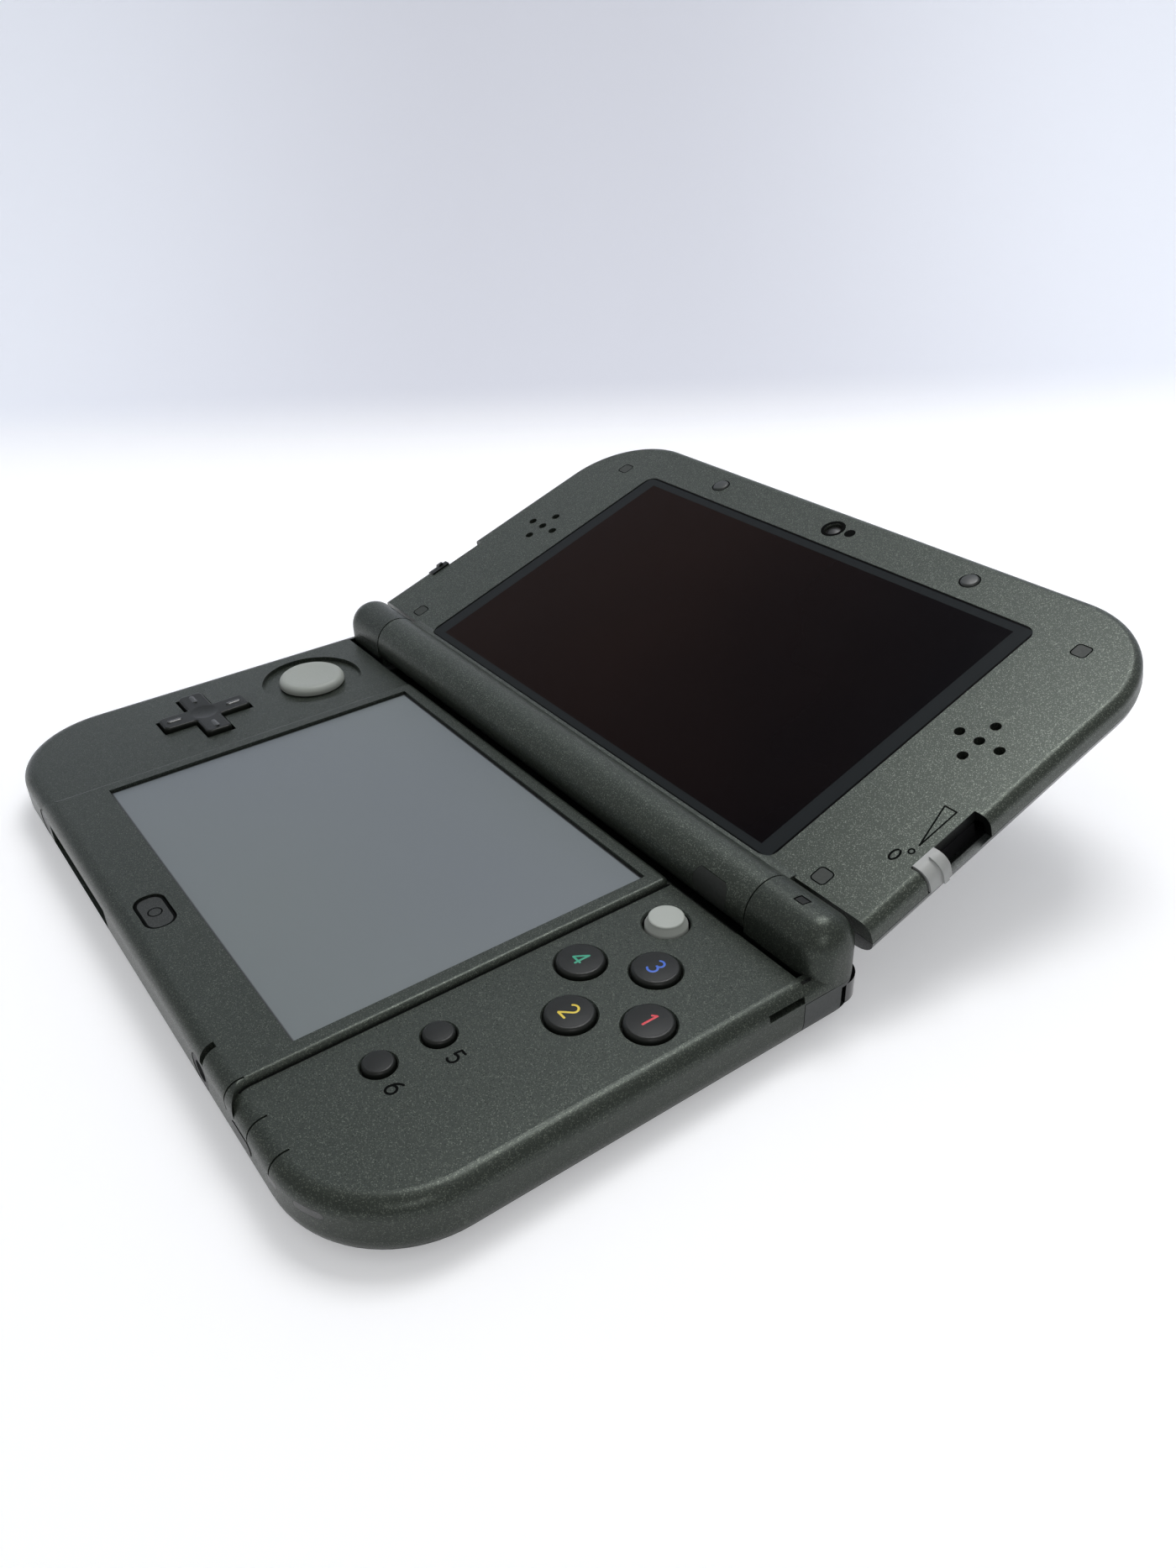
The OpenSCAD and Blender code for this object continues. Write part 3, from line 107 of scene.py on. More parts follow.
def reckon(finish, operation, *values, clamp=False):
    """Adds one step of arithmetic on plain values or outputs, and gives its output."""
    return add_node(finish, "Math", dict(enumerate(values)), operation=operation, use_clamp=clamp).outputs[0]


def stretch(finish, value, from_low, from_high, to_low=0.0, to_high=1.0, **settings):
    """Carries a value evenly from one range to another. It stops at the ends of the range unless it is set not to."""
    ends = {"Value": value, "From Min": from_low, "From Max": from_high, "To Min": to_low, "To Max": to_high}
    return add_node(finish, "MapRange", ends, **settings).outputs[0]


def place_on(finish):
    """The place on the object, in the object's own coordinates."""
    return add_node(finish, "TexCoord").outputs["Object"]


def noise(finish, place, scale, detail, roughness=0.5):
    """A soft noise between 0 and 1."""
    values = {"Vector": place, "Scale": scale, "Detail": detail, "Roughness": roughness}
    return add_node(finish, "TexNoise", values).outputs["Fac"]


def emboss(finish, shader, height, strength, distance):
    """Tips the surface by a height, as fine relief."""
    bump = add_node(finish, "Bump", {"Height": height, "Strength": strength, "Distance": distance})
    join(finish, bump.outputs[0], shader, "Normal")


# The sheet runs away from the camera: flat as far as the bend, then a quarter circle, then an upright wall.
away = np.array([-0.8241, 0.5664, 0.0])
across = np.array([0.5664, 0.8241, 0.0])
camera_foot = np.array([0.1768, -0.0726, 0.0])
sheet_start, sheet_half, bend_start, bend_radius, wall_top = -1.6, 2.0, 0.42, 0.3, 1.7
bend = np.linspace(0, np.pi / 2, 25)
paper_run = np.concatenate([[sheet_start, 0.2], bend_start + bend_radius * np.sin(bend), [bend_start + bend_radius]])
paper_rise = np.concatenate([[0.0, 0.0], bend_radius - bend_radius * np.cos(bend), [wall_top]])
paper_row = camera_foot + paper_run[:, None] * away + paper_rise[:, None] * np.array([0, 0, 1])
paper_points = np.concatenate([paper_row - sheet_half * across, paper_row + sheet_half * across])
paper_count = len(paper_run)
strip = np.arange(paper_count - 1)
paper_quads = np.stack([strip, strip + 1, strip + 1 + paper_count, strip + paper_count], axis=1)
paper_mesh = bpy.data.meshes.new("paper")
paper_mesh.from_pydata(paper_points.tolist(), [], paper_quads.tolist())
paper_mesh.shade_smooth()
paper = bpy.data.objects.new("paper", paper_mesh)
scene.collection.objects.link(paper)

paper_finish, paper_shader = start_finish("paper", Roughness=0.85, Specular_IOR_Level=0.2)
paper_place = place_on(paper_finish)
paper_height = add_node(paper_finish, "SeparateXYZ", {0: paper_place}).outputs["Z"]
paper_up = stretch(paper_finish, paper_height, -0.006, 0.012, interpolation_type="SMOOTHSTEP")
# The wall is darker in the middle, as painted shadow of the lid; it grows paler with the distance from there, either
# way.
paper_side = add_node(paper_finish, "VectorMath", {0: paper_place, 1: across.tolist()}, operation="DOT_PRODUCT")
paper_side = reckon(paper_finish, "SUBTRACT", paper_side.outputs["Value"], 0.04)
paper_side = reckon(paper_finish, "ABSOLUTE", paper_side)
paper_shadow_fade = stretch(paper_finish, paper_side, 0.03, 0.3, interpolation_type="SMOOTHSTEP")
paper_wall_shadowed = add_mix(paper_finish, paper_shadow_fade, (0.545, 0.560, 0.620, 1), (0.715, 0.745, 0.820, 1))
paper_colour = add_mix(paper_finish, paper_up, (0.93, 0.93, 0.93, 1), paper_wall_shadowed)
join(paper_finish, paper_colour, paper_shader, "Base Color")
# What looks at the paper sees it a little paler than its own colour; the light that it throws back isn't changed.
paper_glow = 0.33
join(paper_finish, paper_colour, paper_shader, "Emission Color")
paper_rays = add_node(paper_finish, "LightPath").outputs
paper_seen = reckon(paper_finish, "ADD", paper_rays["Is Camera Ray"], paper_rays["Is Glossy Ray"])
paper_seen = reckon(paper_finish, "ADD", paper_seen, paper_rays["Is Transmission Ray"], clamp=True)
join(paper_finish, reckon(paper_finish, "MULTIPLY", paper_seen, paper_glow), paper_shader, "Emission Strength")
emboss(paper_finish, paper_shader, noise(paper_finish, paper_place, 900.0, 2.0), 0.05, 0.0002)
paper_mesh.materials.append(paper_finish)


def hang_lamp(name, place, target, size, power, colour=(1, 1, 1)):
    """Hangs a square soft lamp at a place, facing a target point."""
    lamp = bpy.data.lights.new(name, "AREA")
    lamp.size = size
    lamp.energy = power
    lamp.color = colour
    holder = bpy.data.objects.new(name, lamp)
    aim = (Vector(target) - Vector(place)).to_track_quat("-Z", "Y")
    holder.matrix_world = Matrix.Translation(place) @ aim.to_matrix().to_4x4()
    scene.collection.objects.link(holder)


hang_lamp("key_lamp", (-0.22, 0.38, 0.96), (0.02, 0.03, 0), size=0.50, power=6.3)
hang_lamp("side_lamp", (0.75, -0.30, 0.60), (0.05, 0, 0), size=0.35, power=1.1)
hang_lamp("back_lamp", (-0.72, 0.18, 0.50), (0, 0.05, 0), size=0.35, power=1.1, colour=(0.95, 0.97, 1))

room = bpy.data.worlds.new("room")
scene.world = room
room.use_nodes = True
room_light = room.node_tree.nodes["Background"]
room_light.inputs["Color"].default_value = (0.99, 0.99, 0.99, 1)
# The room is brightest overhead and a little behind. What looks straight at it sees it pale, and what mirrors it
# sees it about half as bright as that.
room_way = {0: add_node(room, "TexCoord").outputs["Generated"], 1: (-0.48, 0.36, 0.80)}
room_up = add_node(room, "VectorMath", room_way, operation="DOT_PRODUCT").outputs["Value"]
room_level = stretch(room, room_up, -0.25, 1.0, 0.14, 0.76)
room_rays = add_node(room, "LightPath").outputs
room_seen = reckon(room, "ADD", room_rays["Is Camera Ray"], room_rays["Is Transmission Ray"], clamp=True)
room_pale = reckon(room, "MULTIPLY", room_seen, 0.84)
room_mirrored = reckon(room, "MULTIPLY", room_rays["Is Glossy Ray"], 0.45)
room_pale = reckon(room, "MAXIMUM", room_pale, room_mirrored)
join(room, reckon(room, "MAXIMUM", room_level, room_pale), room_light, "Strength")
scene.view_settings.view_transform = "Standard"


# ---------------------------------------------------------------- Back cover and lower housing
# The bottom pan, held by two screws, and the chassis plate with the rear wall. Both are moulded in dark plastic
# whose mould was etched to a fine matt grain, and they aren't painted.
def moulded(name, colour, lighter, rough, grain=0.00035, relief=0.25, **values):
    """Moulded plastic: two close tones drift over it, and a fine noise is both its grain and its dull patches."""
    finish, shader = start_finish(name, **values)
    place = place_on(finish)
    drift = noise(finish, place, 45.0, 3.0, 0.6)
    join(finish, add_mix(finish, drift, (*colour, 1), (*lighter, 1)), shader, "Base Color")
    etch = noise(finish, place, 1 / grain, 2.0, 0.55)
    join(finish, stretch(finish, etch, 0.3, 0.7, rough - 0.05, rough + 0.07), shader, "Roughness")
    emboss(finish, shader, etch, relief, 0.00006)
    return finish


def dress(finish, *names):
    """Gives one material to the whole of each named solid."""
    for name in names:
        for material_slot in nodes[name].material_slots:
            material_slot.material = finish


pan_plastic = moulded("pan_plastic", (0.030, 0.034, 0.033), (0.040, 0.045, 0.044), 0.5)
dress(pan_plastic, "back_cover", "lower_housing")


# ---------------------------------------------------------------- Boards, battery and other inner parts
# The two circuit boards, the wrapped battery, the metal cages and the springy rubber domes under the keys.
# Nothing of them shows from outside, but the shells can be taken off.
board_finish, board_shader = start_finish("circuit_board", Specular_IOR_Level=0.5, Coat_Weight=0.3, Coat_Roughness=0.25)
board_place = place_on(board_finish)
board_pattern = {
    "Vector": board_place, "Scale": 260.0, "Mortar Size": 0.03, "Brick Width": 1.3, "Row Height": 0.4,
    "Color1": (0.010, 0.075, 0.035, 1), "Color2": (0.014, 0.110, 0.050, 1), "Mortar": (0.020, 0.160, 0.075, 1),
}
board_tracks = add_node(board_finish, "TexBrick", board_pattern).outputs["Color"]
join(board_finish, board_tracks, board_shader, "Base Color")
board_cells = add_node(board_finish, "TexVoronoi", {"Vector": board_place, "Scale": 420.0}).outputs["Distance"]
join(board_finish, stretch(board_finish, board_cells, 0, 1, 0.3, 0.55), board_shader, "Roughness")
dress(board_finish, "main_board", "control_board", "lid_board")


def bare_metal(name, colour, rough, brush=(1, 1, 1)):
    """Bare metal: noise drawn out along one way by unequal scales is the fine brushing left by the rolls."""
    finish, shader = start_finish(name, Metallic=1.0)
    drawn = add_node(finish, "Mapping", {"Vector": place_on(finish), "Scale": brush}).outputs[0]
    lines = noise(finish, drawn, 2200.0, 3.0)
    deep = tuple(0.78 * part for part in colour)
    join(finish, add_mix(finish, lines, (*deep, 1), (*colour, 1)), shader, "Base Color")
    join(finish, stretch(finish, lines, 0, 1, rough - 0.1, rough + 0.12), shader, "Roughness")
    return finish


plated_steel = bare_metal("plated_steel", (0.52, 0.53, 0.55), 0.34, (1, 0.15, 1))
dress(plated_steel, "card_reader", "upper_display", "lower_display")
dress(bare_metal("zinc_screws", (0.60, 0.60, 0.62), 0.3), "cover_screws", "housing_screws", "lid_screws")
dress(bare_metal("turned_steel", (0.56, 0.57, 0.60), 0.26, (0.1, 1, 1)), "hinge_cartridge", "hinge_bush")
dress(moulded("battery_wrap", (0.030, 0.032, 0.040), (0.045, 0.047, 0.055), 0.38, 0.0012, 0.15), "battery")
dress(moulded("dome_rubber", (0.20, 0.21, 0.21), (0.25, 0.26, 0.26), 0.62), "button_mats")
inner_plastic = moulded("inner_plastic", (0.016, 0.016, 0.018), (0.026, 0.026, 0.028), 0.48)
dress(
    inner_plastic, "circle_pad_base", "nub_base", "charge_port", "trigger_switches", "slider_switches", "left_speaker",
    "right_speaker", "microphone", "direction_rocker", "circle_pad_carriage", "headphone_jack",
)
dress(moulded("flexure_rubber", (0.16, 0.17, 0.17), (0.21, 0.22, 0.22), 0.6), "nub_flexure")


# ---------------------------------------------------------------- Top housing
# The deck with the raised frame round the touch screen. It is moulded, then sprayed with a satin metallic paint
# whose aluminium flakes show as a fine sparkle, and its edges are rounded all the way round.
def flake_paint(name, deep, pale, flake, rough, cell=0.00013, share=0.79, glint=0.45, **values):
    """Satin metallic paint. Two tones drift over it. Space is cut into cells, each with its own random colour:
    a cell whose red is over the share is a bright flake, its green tips the surface, so that flakes glint, and its
    blue makes it a little duller or glossier."""
    finish, shader = start_finish(name, **values)
    place = place_on(finish)
    ground = add_mix(finish, noise(finish, place, 26.0, 3.0, 0.55), (*deep, 1), (*pale, 1))
    cells = add_node(finish, "TexVoronoi", {"Vector": place, "Scale": 1 / cell}).outputs["Color"]
    red, green, blue = add_node(finish, "SeparateColor", {0: cells}).outputs
    join(finish, add_mix(finish, stretch(finish, red, share, 1), ground, (*flake, 1)), shader, "Base Color")
    join(finish, stretch(finish, blue, 0, 1, rough - 0.07, rough + 0.07), shader, "Roughness")
    emboss(finish, shader, green, glint, 0.000018)
    return finish


def inside_box(finish, place, x_half, y_low, y_high, soft=0.05, top=100.0):
    """1 inside a box and 0 outside it. The box reaches as far to the left as to the right. The largest distance by
    which a place lies beyond a side or the top counts, and 1 falls to 0 as it passes nought by the soft width."""
    parts = add_node(finish, "SeparateXYZ", {0: place}).outputs
    x_out = reckon(finish, "SUBTRACT", reckon(finish, "ABSOLUTE", parts["X"]), x_half * MM)
    y_off = reckon(finish, "SUBTRACT", parts["Y"], (y_low + y_high) / 2 * MM)
    y_out = reckon(finish, "SUBTRACT", reckon(finish, "ABSOLUTE", y_off), (y_high - y_low) / 2 * MM)
    z_out = reckon(finish, "SUBTRACT", parts["Z"], top * MM)
    outside = reckon(finish, "MAXIMUM", reckon(finish, "MAXIMUM", x_out, y_out), z_out)
    return stretch(finish, outside, -soft * MM, soft * MM, 1.0, 0.0)


def paint_shade(finish, share, colour):
    """Lets one plain colour show in place of the colours that a finish already has, by a share: it paints shade."""
    shader = finish.node_tree.nodes["Principled BSDF"]
    sprayed = shader.inputs["Base Color"].links[0].from_socket
    join(finish, add_mix(finish, share, sprayed, (*colour, 1)), shader, "Base Color")


deck_paint = flake_paint(
    "deck_paint", (0.0270, 0.0332, 0.0272), (0.0360, 0.0436, 0.0360), (0.110, 0.125, 0.103), 0.34, Metallic=0.5,
    Specular_IOR_Level=0.4,
)
# The trough that the barrel lies in and the walls of the openings are painted near black, as painted shade. Each
# shaded place has a middle, a half width, a front, a back, and a height that it reaches up to.
deck_place = place_on(deck_paint)
deck_painted_shade = inside_box(deck_paint, deck_place, 63.4, 33.3, 43.5)
shade_places = (
    (0, 78.5, 33.4, 35.4, 11.1),
    (0, 6, -44, -37, 11.9),
    (62.4, 13, -32, 34, 10.95),
    (-62.7, 10.5, -19, 3, 10.95),
)
for middle_x, x_half, front, back, top in shade_places:
    shade_place = {0: deck_place, 1: (middle_x * MM, 0, 0)}
    shade_place = add_node(deck_paint, "VectorMath", shade_place, operation="SUBTRACT").outputs[0]
    shade_part = inside_box(deck_paint, shade_place, x_half, front, back, top=top)
    deck_painted_shade = reckon(deck_paint, "MAXIMUM", deck_painted_shade, shade_part)
paint_shade(deck_paint, deck_painted_shade, (0.005, 0.006, 0.0055))
dress(deck_paint, "top_housing")


def build(name, points, faces, finish, body, slot, stands_for=(), crease=40):
    """Makes one piece from points in millimetres and faces, gives it its material, and sets what it rides on."""
    mesh = bpy.data.meshes.new(name)
    mesh.from_pydata((np.asarray(points) * MM).tolist(), [], faces)
    mesh.shade_smooth()
    mesh.set_sharp_from_angle(angle=radians(crease))
    mesh.materials.append(finish)
    piece = bpy.data.objects.new(name, mesh)
    scene.collection.objects.link(piece)
    if stands_for:
        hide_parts(*stands_for)
    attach(piece, body)
    return piece


def spaced(path, step):
    """Puts points along a path at even steps, by its running length."""
    path = np.asarray(path, float)
    run = np.concatenate([[0], np.cumsum(np.linalg.norm(np.diff(path, axis=0), axis=1))])
    even = np.linspace(0, run[-1], max(3, int(run[-1] / step) + 1))
    return np.stack([np.interp(even, run, path[:, k]) for k in range(path.shape[1])], axis=1)


line_step = 0.06


def bead(path, width, height, level, closed=False):
    """Points and faces of a thin bead of ink or a filled groove along a flat path.
    Its section is an ellipse of the width and height about the level, which is a function of x and y. A free end is
    round: over the last half width, the width falls by the square root of one minus the square of the share gone."""
    line = spaced(path, line_step)
    if closed:
        line = line[:-1]
        ahead_of = np.roll(line, -1, axis=0) - np.roll(line, 1, axis=0)
        swell = np.ones(len(line))
    else:
        ahead_of = np.gradient(line, axis=0)
        run = np.concatenate([[0], np.cumsum(np.linalg.norm(np.diff(line, axis=0), axis=1))])
        end = np.minimum(run, run[-1] - run)
        swell = np.sqrt(np.clip(1 - (1 - end / (width / 2)) ** 2, 0.02, 1))
        swell[end > width / 2] = 1
    ahead_of = ahead_of / np.linalg.norm(ahead_of, axis=1, keepdims=True)
    side = np.stack([-ahead_of[:, 1], ahead_of[:, 0]], axis=1)
    turn = np.linspace(0, 2 * np.pi, 8, endpoint=False)
    flat = line[:, None, :] + side[:, None, :] * (swell[:, None] * width / 2 * np.cos(turn))[:, :, None]
    rise = level(flat[..., 0], flat[..., 1]) + height / 2 * np.sin(turn)[None, :]
    points = np.concatenate([flat, rise[..., None]], axis=2).reshape(-1, 3)
    rows, ring = len(line), len(turn)
    i, j = np.meshgrid(np.arange(rows if closed else rows - 1), np.arange(ring), indexing="ij")
    near, far = i * ring, ((i + 1) % rows) * ring
    quads = np.stack([near + j, far + j, far + (j + 1) % ring, near + (j + 1) % ring], axis=-1).reshape(-1, 4)
    faces = quads[:, ::-1].tolist()
    if not closed:
        faces += [list(range(ring)), list(range(rows * ring - 1, (rows - 1) * ring - 1, -1))]
    return points, faces


def gather(parts):
    """Puts several sets of points and faces into one."""
    points, faces = [], []
    for more_points, more_faces in parts:
        start = sum(len(p) for p in points)
        points.append(more_points)
        faces += [[start + corner for corner in face] for face in more_faces]
    return np.concatenate(points), faces


def bow(cx, cy, rx, ry, from_deg, to_deg, n=24):
    """Points on an ellipse about a centre, between two angles counted from the right."""
    turn = np.radians(np.linspace(from_deg, to_deg, n))
    return np.stack([cx + rx * np.cos(turn), cy + ry * np.sin(turn)], axis=1)


# Plain figures, one unit high, as the strokes that a pen would make.
figures = {
    0: [bow(0, 0.5, 0.3, 0.5, 90, 450, 40)],
    1: [[(-0.2, 0.76), (0.04, 1.0), (0.04, 0.0)]],
    2: [np.concatenate([bow(0, 0.72, 0.28, 0.28, 165, -35), [(-0.29, 0.0), (0.31, 0.0)]])],
    3: [np.concatenate([bow(0, 0.76, 0.25, 0.24, 150, -85), bow(0, 0.27, 0.29, 0.27, 85, -150)])],
    4: [[(0.14, 0.0), (0.14, 1.0), (-0.32, 0.27), (0.34, 0.27)]],
    5: [np.concatenate([[(0.25, 1.0), (-0.2, 1.0), (-0.24, 0.56)], bow(0, 0.31, 0.29, 0.31, 128, -145)])],
    6: [np.concatenate([bow(0.24, 0.31, 0.53, 0.69, 95, 180), bow(0, 0.31, 0.29, 0.31, 180, 540, 40)])],
}


def write_figure(number, place, size, width, height, level):
    """Points and faces of one figure, centred on a place, from its strokes."""
    parts = []
    for strokes in figures[number]:
        path = (np.asarray(strokes, float) - [0, 0.5]) * size + place
        parts.append(bead(path, width, height, level))
    return gather(parts)


def flat_level(z):
    """A level that has one height everywhere."""
    return lambda x, y: 0 * x + z


deck_level = flat_level(11.2)
# Near black, for engraved lines, marks and gaps, and for the painted shadow along the frame's foot.
engraving_and_shade = moulded("engraved_line", (0.0022, 0.0025, 0.0024), (0.004, 0.0046, 0.0043), 0.9, Specular_IOR_Level=0.04)
small_spots = ((54.0, -16.55), (54.0, -26.55))
deck_figures = [
    write_figure(number, (spot[0] + 5.4, spot[1] - 0.3), 2.7, 0.42, 0.04, deck_level)
    for number, spot in zip((5, 6), small_spots)
]
build("deck_figures", *gather(deck_figures), engraving_and_shade, "base", "shell_paint")
# A black line of painted shadow runs along the sharp foot of the frame, out to the hollow curve in front.
foot_shadow_line = np.concatenate([[(46.42, 33.2)], bow(50.8, -42.95, 4.38, 4.38, 180, 206, 12)])
frame_foot = [bead(foot_shadow_line * [side, 1], 0.5, 0.05, deck_level) for side in (-1, 1)]
build("frame_foot", *gather(frame_foot), engraving_and_shade, "base", "shell_paint")


# ---------------------------------------------------------------- Lights and windows of the base
# Small clear inserts pressed into the shell: two in the front edge, one on the right knuckle, and the dark
# infrared window in the rear wall. They are moulded in smoky clear plastic, and a black gap runs round the knuckle's.
dress(moulded("smoked_lens", (0.035, 0.037, 0.035), (0.050, 0.052, 0.049), 0.30, 0.0006, 0.05), "status_lights")
dress(moulded("infrared_plastic", (0.012, 0.006, 0.010), (0.020, 0.010, 0.016), 0.12, 0.001, 0.03), "infrared_window")
knuckle_lens = moulded(
    "knuckle_lens", (0.005, 0.006, 0.005), (0.008, 0.009, 0.008), 0.4, 0.0006, 0.05, Specular_IOR_Level=0.2
)
dress(knuckle_lens, "hinge_light")
knuckle_radius = 5.45


def knuckle_level(x, y):
    """The knuckle is round: its height over the hinge line is the third side of a right triangle under the radius."""
    return hinge_z + np.sqrt(knuckle_radius**2 - (y - hinge_y) ** 2)


lens_edge = np.array([(-1.1, -0.8), (0.9, -0.8), (1.2, 0.8), (-0.9, 0.8), (-1.1, -0.8)]) + [70.8, hinge_y]
lens_gap = bead(lens_edge, 0.32, 0.13, knuckle_level, closed=True)
build("lens_gap", *lens_gap, engraving_and_shade, "base", "shell_paint")


# ---------------------------------------------------------------- Touch screen
# A sheet of clear film over glass, sunk under the frame, with the dull grey picture area behind it and a thin
# black band of painted shade round its edge, under the frame's wall. The film's etched face spreads what it reflects.
touch_half_x, touch_front, touch_back, edge_shade_width = 43.15, -34.85, 30.35, 0.45
film, film_shader = start_finish("touch_film", Specular_IOR_Level=0.45, Coat_Weight=0.15, Coat_Roughness=0.35)
film_place = place_on(film)
film_cloud = noise(film, film_place, 16.0, 1.0)
film_tint = add_mix(film, film_cloud, (0.135, 0.152, 0.178, 1), (0.150, 0.175, 0.168, 1))
# The band round the edge is painted near black, as painted shade from the frame's wall.
film_unshaded = inside_box(film, film_place, touch_half_x - edge_shade_width, touch_front + edge_shade_width, touch_back - edge_shade_width, 0.12)
join(film, add_mix(film, film_unshaded, (0.010, 0.011, 0.012, 1), film_tint), film_shader, "Base Color")
film_etch = noise(film, film_place, 5200.0, 1.0)
join(film, stretch(film, film_etch, 0, 1, 0.34, 0.46), film_shader, "Roughness")
emboss(film, film_shader, film_etch, 0.06, 0.00002)
dress(film, "touch_panel")


# ---------------------------------------------------------------- Round keys
# Four face keys and two small keys, moulded in matt black plastic. Each is a crowned cap on a flange that keeps
# it under the deck, with a short stem on its rubber dome. The face keys carry a plain coloured figure each.
def arc(r_centre, z_centre, radius, from_deg, to_deg, n=9):
    """Points of a profile on an arc about a centre, between two angles counted from outwards."""
    turn = np.radians(np.linspace(from_deg, to_deg, n))
    return [(r_centre + radius * c, z_centre + radius * s) for c, s in zip(np.cos(turn), np.sin(turn))]


def turned(profile, place, around=96):
    """Points and faces of a turned piece: a profile of radius and height is carried round a vertical line.
    The profile runs from the top of the axis to its bottom, and each end is closed by one point."""
    profile = np.asarray(profile, float)
    spin = np.linspace(0, 2 * np.pi, around, endpoint=False)
    body = profile[1:-1]
    x = place[0] + body[:, 0, None] * np.cos(spin)
    y = place[1] + body[:, 0, None] * np.sin(spin)
    z = np.broadcast_to(body[:, 1, None], x.shape)
    points = np.stack([x, y, z], axis=-1).reshape(-1, 3)
    top, bottom = (*place, profile[0, 1]), (*place, profile[-1, 1])
    points = np.concatenate([points, [top, bottom]])
    rows = len(body)
    i, j = np.meshgrid(np.arange(rows - 1), np.arange(around), indexing="ij")
    after = (j + 1) % around
    quads = np.stack([i * around + j, (i + 1) * around + j, (i + 1) * around + after, i * around + after], axis=-1)
    j = np.arange(around)
    after = (j + 1) % around
    cap = np.stack([np.full(around, rows * around), j, after], axis=1)
    low = (rows - 1) * around
    base = np.stack([np.full(around, rows * around + 1), low + after, low + j], axis=1)
    return points, quads.reshape(-1, 4).tolist() + cap.tolist() + base.tolist()


def crown(radius, edge_z, rise, n=14):
    """Profile of a crowned top: it falls by the square of the distance from the middle."""
    r = np.linspace(0, radius, n)
    return [(a, edge_z + rise * (1 - (a / radius) ** 2)) for a in r]


key_black = moulded(
    "key_black", (0.0056, 0.0068, 0.0054), (0.0084, 0.0099, 0.0080), 0.34, 0.0003, 0.14, Specular_IOR_Level=0.29
)
flange_top, flange_foot, stem_foot = 9.6, 8.9, 8.1
cap_radius, cap_edge, cap_rise = 3.3, 12.0, 0.14
face_spots = {"right": (71.2, 9.35), "front": (62.4, 1.15), "back": (62.4, 17.55), "left": (53.6, 9.35)}
key_profile = (
    crown(cap_radius, cap_edge, cap_rise) + arc(3.36, 11.36, 0.64, 84, 0)
    + [(4.0, flange_top), (4.7, flange_top), (4.7, flange_foot), (1.4, flange_foot), (1.4, stem_foot), (0, stem_foot)]
)
for side, spot in face_spots.items():
    key = turned(key_profile, spot)
    build(f"face_key_{side}", *key, key_black, f"face_button_{side}", "key_black", [f"face_button_{side}"])

small_profile = (
    crown(1.95, 11.93, 0.09) + arc(1.98, 11.41, 0.52, 84, 0)
    + [(2.5, flange_top), (3.2, flange_top), (3.2, flange_foot), (1.1, flange_foot), (1.1, stem_foot), (0, stem_foot)]
)
for name, spot in zip(("start", "select"), small_spots):
    key = turned(small_profile, spot, 72)
    build(f"{name}_key", *key, key_black, f"{name}_button", "key_black", [f"{name}_button"])


def crown_level(spot):
    """The height of a face key's crown: it falls by the square of the distance from the key's middle."""
    return lambda x, y: cap_edge + cap_rise - cap_rise * ((x - spot[0]) ** 2 + (y - spot[1]) ** 2) / cap_radius**2


face_figures = {
    "right": (1, (0.62, 0.035, 0.05)),
    "front": (2, (0.66, 0.50, 0.04)),
    "back": (3, (0.035, 0.12, 0.55)),
    "left": (4, (0.02, 0.30, 0.18)),
}
for side, (number, ink) in face_figures.items():
    spot = face_spots[side]
    printed = moulded(f"{side}_ink", ink, tuple(min(1, 1.15 * part) for part in ink), 0.42, 0.0004, 0.05)
    figure = write_figure(number, spot, 3.0, 0.38, 0.03, crown_level(spot))
    build(f"{side}_figure", *figure, printed, f"face_button_{side}", "key_black")


# ---------------------------------------------------------------- Direction pad
# A four-way cross in the same matt black plastic, with a raised bar along each arm and a hollow in the middle for
# the thumb. It rocks on a post, and a disc under the deck keeps it in.
pad_middle = np.array([-62.7, -8.15])
pad_arm, pad_half = 9.45, 2.7
pad_top = 12.2


def cross_edge(arm, half, outer, inner):
    """Outline of a cross: straight sides, arcs of one radius at its eight tips and another in its four crooks. One
    arm and the crook after it are drawn, and the other three are turned from them."""
    tip_a = bow(arm - outer, -(half - outer), outer, outer, -90, 0, 8)
    tip_b = bow(arm - outer, half - outer, outer, outer, 0, 90, 8)
    crook = bow(half + inner, half + inner, inner, inner, 270, 180, 5)
    quarter_turn = np.array([[0, 1], [-1, 0]])
    parts = [np.concatenate([tip_a, tip_b, crook])]
    for _ in range(3):
        parts.append(parts[-1] @ quarter_turn)
    return spaced(np.concatenate(parts + [parts[0][:1]]), 0.22)[:-1]


